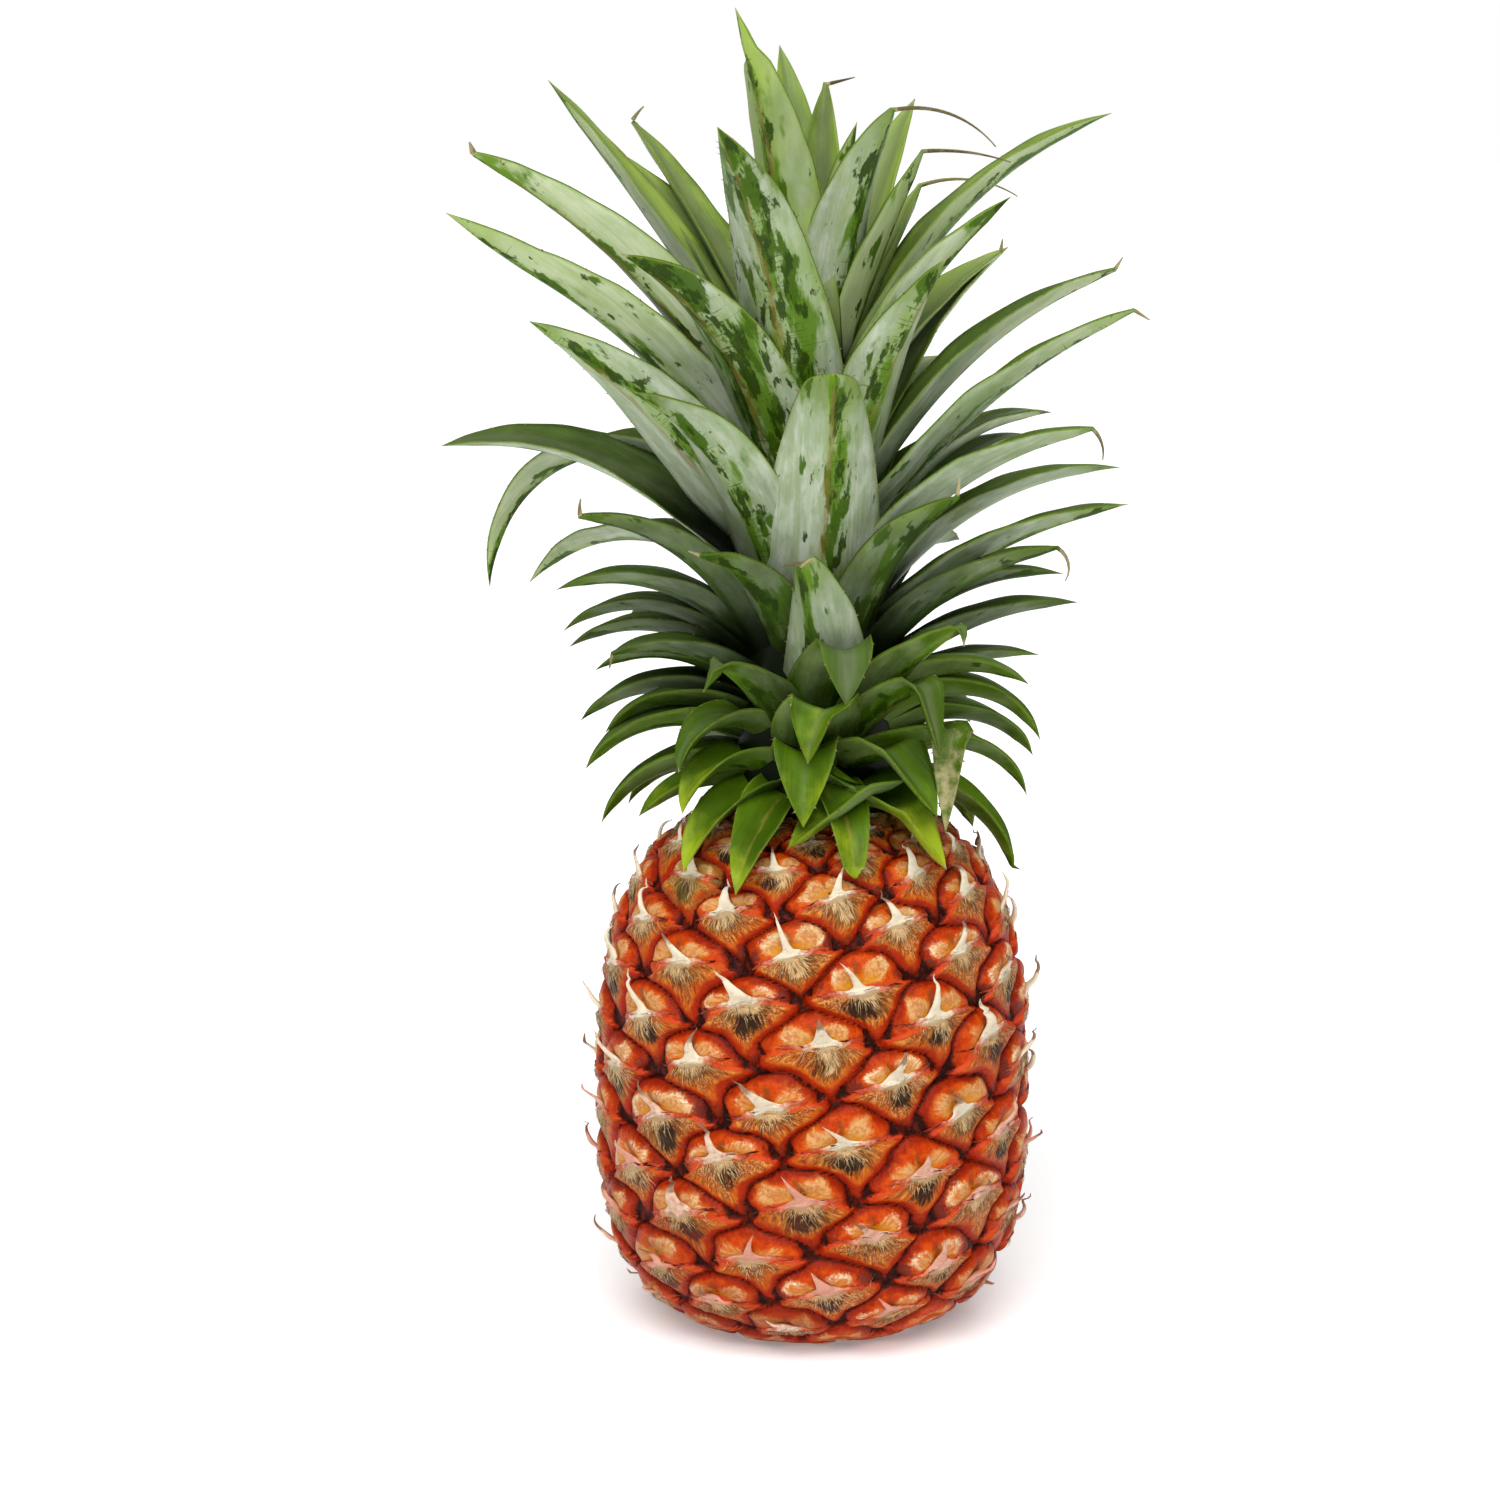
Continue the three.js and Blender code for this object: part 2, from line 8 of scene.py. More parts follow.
import bpy
import numpy as np
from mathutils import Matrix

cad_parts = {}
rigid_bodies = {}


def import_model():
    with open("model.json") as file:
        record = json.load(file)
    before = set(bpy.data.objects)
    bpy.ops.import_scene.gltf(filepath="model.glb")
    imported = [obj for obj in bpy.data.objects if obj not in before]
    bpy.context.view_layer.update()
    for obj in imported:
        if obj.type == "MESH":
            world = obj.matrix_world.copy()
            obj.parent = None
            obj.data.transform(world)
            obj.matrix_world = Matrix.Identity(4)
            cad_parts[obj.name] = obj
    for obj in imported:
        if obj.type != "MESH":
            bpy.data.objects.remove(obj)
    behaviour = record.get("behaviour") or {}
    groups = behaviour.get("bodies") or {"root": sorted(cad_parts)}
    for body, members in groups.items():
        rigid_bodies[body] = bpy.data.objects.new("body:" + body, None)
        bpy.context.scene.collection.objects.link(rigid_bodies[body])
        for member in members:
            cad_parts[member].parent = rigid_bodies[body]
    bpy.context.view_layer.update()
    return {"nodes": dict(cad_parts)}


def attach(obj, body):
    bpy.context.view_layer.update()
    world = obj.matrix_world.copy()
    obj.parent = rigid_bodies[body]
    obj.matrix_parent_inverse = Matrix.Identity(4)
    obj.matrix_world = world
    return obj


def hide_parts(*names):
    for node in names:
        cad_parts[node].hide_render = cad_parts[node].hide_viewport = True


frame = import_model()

MM = 0.001

# ---- Driving dimensions of the fruit, millimetres ----

FRUIT_RADIUS = 57.5  # at the widest level, in the furrows between the eyes
WIDEST_Z = 64.0
RISE_ABOVE = 83.0  # from the widest level to the top of the barrel
DROP_BELOW = 65.0  # from the widest level to where the barrel would close below its underside
SQUARENESS_ABOVE = 2.9  # exponent of the outline: 2 is an ellipse, more is squarer
SQUARENESS_BELOW = 3.2
GOLDEN_ANGLE = 137.508  # degrees from one eye to the next round the fruit
GOLDEN_SHARE = 0.618034  # of the arc, from one leaf to the next behind
STEEP_STEP = 13  # the eyes lie on 13 steep spirals and 8 flat ones
FLAT_STEP = 8
EYE_RISE = 1.25  # along the outline from one eye to the next, where the barrel is widest
FIRST_EYE_RADIUS = 22.0  # where the spirals start under the crown
FIRST_EYE_ANGLE = 75.7  # degrees round from the front
EYE_HEIGHT = 3.6  # from the furrow to the top of an eye's dome
SPINES_BELOW_Z = 125.0  # above this level the crown's leaves lie on the fruit
SPINES_ABOVE_Z = 8.0
STALK_RADIUS = 12.0
STALK_DEPTH = 10.0
CLEARANCE = 0.3
FRUIT_TOP = WIDEST_Z + RISE_ABOVE
HALF_EYE = (17.0, 13.0)  # half the width and half the height of an eye, where the barrel is widest

# ---- Driving dimensions of the crown, millimetres ----

STEM_FOOT_Z = FRUIT_TOP + CLEARANCE
STEM_TOP_Z = 286.0
STEM_FOOT_RADIUS = 23.0
STEM_TOP_RADIUS = 7.0
BLADE_MIDRIB = 2.2  # thickness of a leaf at its midrib and at its edges
BLADE_EDGE = 0.6
CHANNEL_DEPTH = 5.5
THREAD = 1.0  # half-width of a withered thread
TAIL_START = 0.97  # where a withered thread begins, as a share of the blade's length
BEND_EXPONENT = 1.4  # a leaf bends more towards its tip
ROOT_SHARE = 0.48  # a leaf springs from inside the stem, at this share of its radius
OFF_FRUIT = 2.2  # a drooping leaf lies this far off the tops of the eyes
OFF_SPINES = 8.0  # and this far where the eyes have spines
LEAF_ACROSS = 13  # points across a blade

# Azimuth (degrees from the front, + towards the right), height of the root, length, rise at the root, rise at
# the tip and greatest width of each leaf, then what is special about it: swing of its heading, blunt broken tip,
# waist (share of the width at the root), twist about the midrib, fold (share, rise, heading) and withered tail
# (length, rise at its start, rise at its end, heading). Of its colour: worn, how much more bloom is rubbed off,
# and withered, how dry it is.
LEAVES = [
    # upright leaves at the heart of the crown
    (-35, 258, 109, 80, 64, 24, dict(fold=(0.86, 73, -75))),
    (-22, 226, 125, 75, 38, 30, dict(worn=0.2)),
    (165, 280, 66, 84, 78, 16, dict(tail=(8, 15, 15, 90))),
    (32, 246, 101, 88, 44, 24, dict(tail=(30, 12, -50, 80), worn=0.1)),
    (80, 258, 74, 74, 64, 18, dict(tail=(24, 5, -18, 80))),
    (118, 262, 63, 62, 62, 17, dict(tail=(28, 20, -32, 95))),
    (-160, 276, 82, 80, 64, 18, {}),
    (70, 282, 52, 84, 76, 14, {}),
    (-80, 284, 46, 82, 78, 13, {}),
    (-10, 284, 40, 80, 84, 13, {}),
    # long leaves that spread from the upper stem
    (98, 250, 119, 69, 19, 20, {}),
    (68, 238, 92, 70, 38, 22, {}),
    (135, 243, 93, 48, 20, 18, dict(tail=(4, 85, 85, 120))),
    (38, 206, 105, 76, 45, 26, dict(worn=0.1)),
    (6, 190, 86, 70, 60, 34, dict(blunt=0.3, waist=0.35)),
    (-48, 212, 112, 80, 20, 28, dict(twist=12, worn=0.15)),
    (-44, 188, 101, 74, 20, 28, dict(twist=10)),
    (-68, 204, 108, 58, 30, 27, dict(twist=40)),
    (-88, 226, 126, 54, 20, 24, dict(fold=(0.78, 34, -80), twist=35)),
    (-82, 236, 129, 59, 26, 24, dict(tail=(4, 60, 60, -30), twist=32)),
    (-105, 246, 121, 58, 50, 20, {}),
    (-130, 253, 104, 58, 45, 17, dict(tail=(6, 60, 40, 60))),
    (-104, 198, 115, 50, -11, 24, dict(twist=-20)),
    (-118, 216, 128, 46, -88, 20, {}),
    (-138, 198, 124, 26, -38, 18, {}),
    (98, 219, 113, 62, 17, 21, dict(tail=(4, 60, 60, 90))),
    (82, 211, 112, 56, 22, 21, dict(tail=(5, -30, -30, 80))),
    (125, 204, 94, 56, -2, 19, {}),
    (72, 203, 90, 52, 10, 23, dict(tail=(9, -40, -100, 80))),
    (98, 191, 95, 55, -1, 18, {}),
    (80, 186, 91, 45, 10, 19, {}),
    # middle leaves
    (-62, 170, 94, 72, 2, 23, dict(tail=(5, 80, 110, -60))),
    (-34, 166, 78, 82, 4, 22, dict(tail=(4, 20, 20, -110))),
    (12, 160, 66, 62, 66, 25, dict(swing=-50, blunt=0.3, waist=0.45, tail=(6, 10, -20, -90))),
    (44, 166, 88, 80, 24, 25, dict(tail=(6, 80, 90, 60))),
    (68, 175, 80, 55, 10, 21, dict(tail=(10, -30, -120, 80))),
    (88, 177, 72, 56, -7, 16, {}),
    (84, 171, 73, 47, 0, 18, {}),
    (40, 158, 70, 52, 26, 21, dict(fold=(0.93, -80, 60))),
    (96, 165, 60, 45, -9, 14, {}),
    (74, 160, 62, 62, -30, 18, {}),
    (84, 157, 66, 60, -64, 19, {}),
    (104, 157, 61, 40, -56, 18, {}),
    (-85, 178, 74, 58, -21, 19, {}),
    (-100, 171, 75, 62, -40, 16, {}),
    (-110, 175, 70, 42, -34, 16, {}),
    (-76, 170, 56, 52, -20, 18, dict(tail=(4, -75, -75, -76))),
    (-92, 167, 59, 54, -33, 16, {}),
    (-96, 167, 60, 34, -44, 18, {}),
    (-84, 164, 53, 40, -47, 16, {}),
    (-80, 161, 59, 32, -53, 19, {}),
    (-34, 163, 52, 46, 22, 19, dict(fold=(0.84, -55, -90))),
    # tongues that rise, fold over and hang at the front
    (12, 162, 56, 56, 34, 26, dict(fold=(0.74, -75, 6))),
    (4, 156, 49, 44, 26, 28, dict(fold=(0.7, -65, -46))),
    (-4, 151, 48, 34, 20, 22, dict(fold=(0.58, -61, -5))),
    # small leaves that droop over the top of the fruit
    (35, 158, 66, 44, 10, 18, dict(fold=(0.7, -70, 50))),
    (46, 156, 70, 26, 4, 14, dict(fold=(0.62, -78, -20), withered=1)),
    (30, 155, 53, 26, 0, 24, dict(fold=(0.58, -44, 52))),
    (-52, 157, 48, 62, -78, 18, {}),
    (-50, 151, 44, 46, -74, 17, {}),
    (98, 151, 59, 40, -68, 15, {}),
    (84, 152, 58, 8, -82, 16, {}),
    (-88, 155, 55, 18, -64, 16, {}),
    (-72, 152, 42, 14, -42, 15, {}),
    (-98, 149, 47, 34, -62, 14, {}),
    (32, 150, 52, 6, -20, 22, dict(fold=(0.62, -46, 62))),
    (24, 150.5, 55, 14, 0, 24, dict(fold=(0.48, -29, -64))),
    (12, 148, 52, 26, -104, 15, {}),
    (-22, 148.5, 51, 2, -52, 17, {}),
    (-42, 149.5, 48, 12, -64, 16, {}),
]
# Those behind, by rule: height of the root, length, rise at the root, rise at the tip, greatest width.
HABIT = [
    (150, 50, 10, -62, 22),
    (166, 62, 54, -34, 25),
    (185, 82, 58, -2, 25),
    (208, 100, 56, 14, 24),
    (235, 110, 58, 30, 23),
    (262, 92, 64, 50, 21),
]
BACK_LEAVES = 24
BACK_MIDDLE = 180  # azimuth of the middle of the back, and how far the leaves spread to each side of it
BACK_SPREAD = 58
CROWDING = 1.6  # more than 1 sets them closer together towards the foot

rng = np.random.default_rng(7)


# ---- Mesh helpers ----

def add_piece(name, points, faces, material, values=None, normals=None):
    """Adds a smooth mesh (points in mm) that rides on the one body. faces is a list of arrays of point numbers,
    and values are named numbers at the points, which its material reads."""
    mesh = bpy.data.meshes.new(name)
    corners = np.concatenate([block.ravel() for block in faces])
    sizes = np.concatenate([np.full(len(block), block.shape[1]) for block in faces])
    mesh.vertices.add(len(points))
    mesh.vertices.foreach_set("co", (points * MM).ravel().astype(np.float32))
    mesh.loops.add(len(corners))
    mesh.loops.foreach_set("vertex_index", corners.astype(np.int32))
    mesh.polygons.add(len(sizes))
    mesh.polygons.foreach_set("loop_start", (np.cumsum(sizes) - sizes).astype(np.int32))
    for key, numbers in (values or {}).items():
        layer = mesh.attributes.new(key, "FLOAT", "POINT")
        layer.data.foreach_set("value", np.asarray(numbers, np.float32))
    mesh.update(calc_edges=True)
    mesh.shade_smooth()
    if normals is not None:
        mesh.normals_split_custom_set_from_vertices(normals)
    mesh.materials.append(material)
    piece = bpy.data.objects.new(name, mesh)
    bpy.context.scene.collection.objects.link(piece)
    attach(piece, "root")


def grid_faces(rows, columns):
    """Quads of a grid of points in row order, whose last column joins the first."""
    across = np.arange(columns)
    down = np.arange(rows - 1)[:, None]
    a = down * columns + across
    b = down * columns + (across + 1) % columns
    return np.stack([a, b, b + columns, a + columns], -1).reshape(-1, 4)


def closed_skin(rings, foot, tip):
    """Points, quads and triangles of a closed tube through rings (rows, columns, 3), shut by a point at each end.
    Its faces point outwards: they are turned where its signed volume comes out below nothing."""
    rows, columns = rings.shape[:2]
    points = np.concatenate([rings.reshape(-1, 3), [foot, tip]])
    quads = grid_faces(rows, columns)
    first, last = np.arange(columns), np.arange(columns) + (rows - 1) * columns
    ends = np.concatenate([
        np.stack([np.roll(first, -1), first, np.full(columns, rows * columns)], 1),
        np.stack([last, np.roll(last, -1), np.full(columns, rows * columns + 1)], 1)])
    corners = np.concatenate([quads[:, [0, 1, 2]], quads[:, [0, 2, 3]], ends])
    a, b, c = (points[corners[:, k]] - foot for k in range(3))
    if (a * np.cross(b, c)).sum() < 0:
        quads, ends = quads[:, ::-1], ends[:, ::-1]
    return points, quads, ends


class Bundle:
    """Gathers many small closed meshes into one piece, with their numbers at the points."""

    def __init__(self):
        self.points, self.quads, self.ends, self.values, self.count = [], [], [], {}, 0

    def add(self, skin, **values):
        points, quads, ends = skin
        self.quads.append(quads + self.count)
        self.ends.append(ends + self.count)
        for key, number in values.items():
            numbers = np.broadcast_to(np.asarray(number, float), len(points))
            self.values.setdefault(key, []).append(numbers)
        self.points.append(points)
        self.count += len(points)

    def build(self, name, material):
        values = {key: np.concatenate(numbers) for key, numbers in self.values.items()}
        faces = [np.concatenate(self.quads), np.concatenate(self.ends)]
        add_piece(name, np.concatenate(self.points), faces, material, values)


def unit(vectors):
    """Vectors divided by their lengths."""
    return vectors / np.maximum(np.linalg.norm(vectors, axis=-1, keepdims=True), 1e-9)


def smoothstep(value, low, high):
    """0 below low, 1 above high, and 3 s^2 - 2 s^3 between them, s being the share of the way."""
    share = np.clip((value - low) / (high - low), 0, 1)
    return share * share * (3 - 2 * share)


# ---- The fruit's surface ----

OUTLINE_POINTS = 4001


def trace_outline():
    """The barrel's outline from the top pole to the bottom one: eye number, radius, height, length. It is a
    superellipse, and the eye number runs by one for each EYE_RISE * radius / FRUIT_RADIUS of its length."""
    angles = np.radians(np.linspace(89.9, -89.9, OUTLINE_POINTS))
    above = angles > 0
    exponent = 2 / np.where(above, SQUARENESS_ABOVE, SQUARENESS_BELOW)
    r = FRUIT_RADIUS * np.cos(angles) ** exponent
    z = WIDEST_Z + np.where(above, RISE_ABOVE, -DROP_BELOW) * np.abs(np.sin(angles)) ** exponent
    stretch = np.hypot(np.diff(r), np.diff(z))
    steps = stretch / (EYE_RISE * (r[1:] + r[:-1]) / 2 / FRUIT_RADIUS)
    number = np.concatenate([[0], np.cumsum(steps)])
    number -= np.interp(FIRST_EYE_RADIUS, r[above], number[above])
    length = np.concatenate([[0], np.cumsum(stretch)])
    return number, r, z, length


NUMBER, OUT_R, OUT_Z, OUT_LENGTH = trace_outline()
HALF_WAY = OUTLINE_POINTS // 2
FLAT_TURN = (FLAT_STEP * GOLDEN_ANGLE + 180) % 360 - 180
STEEP_TURN = (STEEP_STEP * GOLDEN_ANGLE + 180) % 360 - 180
TO_LATTICE = np.linalg.inv([[FLAT_TURN, STEEP_TURN], [FLAT_STEP, STEEP_STEP]])
BULGE = 0.13  # how far a dome bulges over the straight furrow, in steps
EYE_DRAWS = np.random.default_rng(11).random((997, 6))  # six numbers for each of more eyes than there are
RIND_COLUMNS = 590
RIND_ROWS = 334


def unevenness(azimuth, number):
    """How far the rows of eyes wander from the even lattice there, in steps along the two spirals."""
    a, n = np.radians(azimuth), number
    flat = 0.04 * np.sin(5 * a + 0.21 * n) + 0.035 * np.sin(12 * a - 0.37 * n + 1)
    steep = 0.04 * np.sin(7 * a - 0.17 * n + 2) + 0.035 * np.sin(10 * a + 0.43 * n)
    return flat + 0.013 * np.sin(31 * a + 1.3 * n), steep + 0.013 * np.sin(29 * a - 1.1 * n)


def lattice(azimuth, number):
    """Steps along the flat and the steep spirals of a point at an azimuth (degrees) and an eye number."""
    turn = azimuth - FIRST_EYE_ANGLE
    flat, steep = unevenness(azimuth, number)
    return (TO_LATTICE[0, 0] * turn + TO_LATTICE[0, 1] * number + flat,
            TO_LATTICE[1, 0] * turn + TO_LATTICE[1, 1] * number + steep)


def bulged(flat, steep):
    """Steps along the two spirals, each moved by BULGE cos(pi s) with s steps along the other from the middle, so
    that the furrows over a dome bow."""
    return (flat + BULGE * np.cos(np.pi * (steep - np.round(steep))),
            steep + BULGE * np.cos(np.pi * (flat - np.round(flat))))


def in_eye(flat, steep):
    """Place within an eye: across from -1 at its left corner to 1 at its right, up from -1 to 1, and q, which is
    0 in the middle and 1 along the furrows, ((2 i)^9 + (2 j)^9)^(1 / 9) in steps i and j from the middle."""
    i, j = bulged(flat, steep)
    i, j = i - np.round(i), j - np.round(j)
    q = ((2 * np.abs(i)) ** 9 + (2 * np.abs(j)) ** 9) ** (1 / 9)
    return i - j, -(i + j), q


def eye_draws(flat, steep):
    """Six numbers between 0 and 1 that are the same all over an eye, drawn by the number of the eye."""
    i, j = bulged(flat, steep)
    return EYE_DRAWS[np.round(FLAT_STEP * np.round(i) + STEEP_STEP * np.round(j)).astype(int) % len(EYE_DRAWS)]


def fold_height(x, draws):
    """How far an eye's fold lies above the eye's middle, x mm across from it: each tilts and bows its own way."""
    return 0.24 * (draws[..., 0] - 0.5) * x - 0.011 * (draws[..., 1] - 0.35) * x * x


def relief(flat, steep):
    """Height of the surface above the furrows, as a share of EYE_HEIGHT. Above an eye's fold swells a pillow of
    two round lobes, with a hollow at the fold and a crevice round it; below it the bract slopes down to its tip.
    Both fall away to the furrows as (1 - q^9)^0.5, and the pillow also as (1 - p^5)^0.6."""
    across, up, q = in_eye(flat, steep)
    draws = eye_draws(flat, steep)
    x, y = across * HALF_EYE[0], up * HALF_EYE[1]
    fall = np.clip(1 - q ** 9, 0, 1) ** 0.5
    pillow = 0.34 + 0.66 * np.clip(1 - pillow_edge(x, y) ** 5, 0, 1) ** 0.6
    y = y - fold_height(x, draws)
    ridge = 1.0 - 0.2 * smoothstep(q, 0.35, 1.0)
    lobes = 0.16 * np.exp(-((np.abs(x) - 4.6) / 3.2) ** 2 - ((y - 4.8) / 3.6) ** 2)
    hollow = 0.4 * np.exp(-(x / 4.6) ** 2 - ((y - 1.2) / 2.6) ** 2)
    cleft = 0.12 * np.exp(-(x / 0.9) ** 2) * smoothstep(y, 1, 3) * smoothstep(-y, -9, -6)
    veins = 0.035 * np.sin(13 * np.arctan2(x, 2 - y) + 6 * draws[..., 5]) * smoothstep(-y, 0.5, 3)
    bract = 1.04 - 0.6 * smoothstep(-y, 0, 12) - 0.08 * np.abs(across) + veins
    above = smoothstep(y, -0.6, 0.3)
    fall = fall * (0.86 + 0.14 * draws[..., 4])
    return fall * (above * np.minimum(ridge + lobes - hollow - cleft, pillow + 0.16) * pillow + (1 - above) * bract)


def pillow_edge(x, y):
    """1 along the rounded edge of the pillow above a fold and 0 in its middle, in mm from the fold's middle."""
    return ((np.abs(x) / 12.0) ** 2.7 + (np.abs(y - 0.3) / 12.9) ** 2.7) ** (1 / 2.7)


def on_rind(azimuth, number, height):
    """Points at a height (mm) above the furrows."""
    r, z = np.interp(number, NUMBER, OUT_R), np.interp(number, NUMBER, OUT_Z)
    r_up, z_up = np.interp(number - 0.5, NUMBER, OUT_R), np.interp(number - 0.5, NUMBER, OUT_Z)
    r_down, z_down = np.interp(number + 0.5, NUMBER, OUT_R), np.interp(number + 0.5, NUMBER, OUT_Z)
    slope = np.hypot(r_down - r_up, z_down - z_up) + 1e-9
    reach = r + height * (z_up - z_down) / slope
    z = z + height * (r_down - r_up) / slope
    a = np.radians(azimuth)
    return np.stack([reach * np.sin(a), -reach * np.cos(a), z + 0 * a], -1)


def place_near(eye, across, up):
    """Azimuth and eye number of a place near the middle of an eye's fold: across and up as in in_eye."""
    azimuth = FIRST_EYE_ANGLE + eye * GOLDEN_ANGLE
    flat_off, steep_off = unevenness(azimuth, eye)
    flat = (across - up) / 2 - BULGE - flat_off
    steep = (-across - up) / 2 - BULGE - steep_off
    return azimuth + flat * FLAT_TURN + steep * STEEP_TURN, eye + flat * FLAT_STEP + steep * STEEP_STEP


def near_eye(eye, across, up, height):
    """Points near the middle of an eye's fold, at a height in shares of the eye's height."""
    across, up, height = np.broadcast_arrays(*(np.asarray(v, float) for v in (across, up, height)))
    azimuth, number = place_near(eye, across, up)
    return on_rind(azimuth, number, height * EYE_HEIGHT * np.interp(eye, NUMBER, OUT_R) / FRUIT_RADIUS)


def relief_near(eye, across, up):
    """relief at a place near the middle of an eye's fold."""
    return relief(*lattice(*place_near(eye, across, up)))


def eye_colours(flat, steep, z):
    """Numbers between 0 and 1 that say which finish shows at each place within an eye. Each is a bell or a step
    in x and y, the millimetres from the middle of the fold, and in q, scaled by a number drawn for the eye.
    across_mm and along_mm run round and away from the middle of the fold, so that the grain fans out from it."""
    across, up, q = in_eye(flat, steep)
    draws = eye_draws(flat, steep)
    a, b, c, d, e, f = np.moveaxis(draws, -1, 0)
    x, y = across * HALF_EYE[0], up * HALF_EYE[1]
    edge = pillow_edge(x, y)
    y = y - fold_height(x, draws)
    above, below = smoothstep(y, -0.3, 0.6), smoothstep(-y, -0.3, 0.6)
    round_fold, from_fold = np.arctan2(x, np.abs(y - 0.2) + 0.6), np.hypot(x, y - 0.2)
    wobble = 0.1 * np.sin(5 * round_fold + 6 * a) + 0.07 * np.sin(9 * round_fold + 6 * f)
    side = np.abs(x - 1.2 * (e - 0.5))
    from_lobe = np.hypot((side - 3.7) / (3.7 + 1.3 * b), (y - 3.2 - 0.8 * a) / (3.5 + 1.1 * c)) + wobble
    return dict(
        across_mm=7 * round_fold, along_mm=from_fold, seed=60 * a + 20 * below,
        rim=np.maximum(smoothstep(q, 0.5, 0.98), above * smoothstep(edge, 0.6, 1.02)) * (0.8 + 0.3 * b),
        pale=(1 - smoothstep(from_lobe, 0.3, 1.3)) * above * (0.68 + 0.42 * c),
        hairs=np.exp(-((from_lobe - 0.66) / 0.36) ** 2) * above * smoothstep(side + 0.9 * y, 3, 9) * (0.36 + 0.5 * d),
        glow=np.exp(-(x / 6.5) ** 2 - ((y - 1.6) / 2.2) ** 2) * above * (0.6 + 0.5 * e),
        cleft=np.exp(-(x / 0.8) ** 2) * smoothstep(y, 2.0, 4.0) * (1 - smoothstep(y, 7, 10)),
        dot=np.exp(-(x / 0.9) ** 2 - ((y - 2.0) / 0.9) ** 2) * (0.4 + 0.8 * b),
        bract=below * (1 - 0.8 * smoothstep(q, 0.6, 1.0)) * (0.6 + 0.35 * d),
        margin=below * np.maximum(smoothstep(q, 0.66, 0.98), 0.8 * smoothstep(-y, 8, 13)),
        fan=np.exp(-((x - 2.4 * (e - 0.5)) / (5.0 + 2.6 * b + 0.25 * y)) ** 2) * below
        * (1 - smoothstep(-y, 1.0 + 5 * c, 6.5 + 4 * c)),
        tuft=np.exp(-((x - 6 * (a - 0.5)) / 4.6) ** 2 - ((y + 5.2) / 3.0) ** 2) * smoothstep(f, 0.1, 0.8) * below,
        tip=below * smoothstep(-y, 7.5, 12) * (0.3 + 0.7 * a),
        bruise=np.exp(-((side - 10) / 2.4) ** 2 - ((y - 2.2) / 2.6) ** 2) * above * smoothstep(d, 0.4, 0.9),
        fold=np.exp(-((y - 0.1) / 0.75) ** 2) * (1 - smoothstep(q, 0.9, 1.0)),
        olive=smoothstep(z, 95, 145) * d,
        # painted shade: a deeper red towards the underside of the barrel
        low=smoothstep(-z, -80, -10) * (0.4 + 0.6 * c),
        # furrow: the dark red-brown lines round the eyes, and the painted shade, near black, in the crevices
        furrow=np.maximum(smoothstep(q, 0.9, 1.02) * (0.45 + 0.5 * above + 0.4 * (a - 0.5)),
                          above * smoothstep(edge, 0.93, 1.03) * (1 - 0.5 * smoothstep(edge, 1.06, 1.2) * b)),
    )


def add_rind(material):
    """The rind in two pieces that share the ring where they meet, and its normals: azimuth round and length along
    the outline down, from the pole under the crown to the underside, then up the wall of the stalk's socket."""
    rim = np.interp(STALK_RADIUS + CLEARANCE, OUT_R[:HALF_WAY:-1], OUT_LENGTH[:HALF_WAY:-1])
    lengths = np.linspace(0.4, rim, RIND_ROWS)
    azimuth, number = np.meshgrid(np.arange(RIND_COLUMNS) * 360 / RIND_COLUMNS,
                                  np.interp(lengths, OUT_LENGTH, NUMBER))
    flat, steep = lattice(azimuth, number)
    scale = np.interp(number, NUMBER, OUT_R) / FRUIT_RADIUS
    points = on_rind(azimuth, number, relief(flat, steep) * EYE_HEIGHT * scale)
    points[..., 2] = np.clip(points[..., 2], 0, FRUIT_TOP)
    values = eye_colours(flat, steep, points[..., 2])
    around = np.roll(points, -1, 1) - np.roll(points, 1, 1)
    normals = unit(np.cross(np.gradient(points, axis=0), around))
    middle = RIND_ROWS // 2
    top = np.array([[0, 0, points[0, :, 2].mean()]])
    wall, hub = points[-1] * 1, np.array([[0, 0, STALK_DEPTH]])
    wall[:, 2] = STALK_DEPTH
    ring = np.arange(RIND_COLUMNS)
    for name, rows, extra in (("rind_upper", slice(0, middle + 1), [top]),
                              ("rind_lower", slice(middle, RIND_ROWS), [wall, hub])):
        block = points[rows]
        count = block[..., 0].size
        faces = [grid_faces(block.shape[0], RIND_COLUMNS)[:, ::-1]]
        way = normals[rows].reshape(-1, 3)
        if name == "rind_upper":
            faces.append(np.stack([ring, np.roll(ring, -1), np.full(RIND_COLUMNS, count)], 1))
            way = np.concatenate([way, [[0, 0, 1]]])
        else:
            low = count - RIND_COLUMNS + ring
            faces.append(np.stack([low, np.roll(low, -1), np.roll(count + ring, -1), count + ring], 1)[:, ::-1])
            faces.append(np.stack([count + ring, np.roll(count + ring, -1),
                                   np.full(RIND_COLUMNS, count + RIND_COLUMNS)], 1)[:, ::-1])
            way = np.concatenate([way, unit(-wall * [1, 1, 0]), [[0, 0, -1]]])
        numbers = {key: np.concatenate([field[rows].ravel(), np.ones(sum(map(len, extra)))])
                   for key, field in values.items()}
        add_piece(name, np.concatenate([block.reshape(-1, 3), *extra]), faces, material, numbers, way)


# ---- The crown's leaves ----

def stem_radius(z):
    """The stem narrows evenly from its foot to its top."""
    return STEM_FOOT_RADIUS + (STEM_TOP_RADIUS - STEM_FOOT_RADIUS) * (z - STEM_FOOT_Z) / (STEM_TOP_Z - STEM_FOOT_Z)


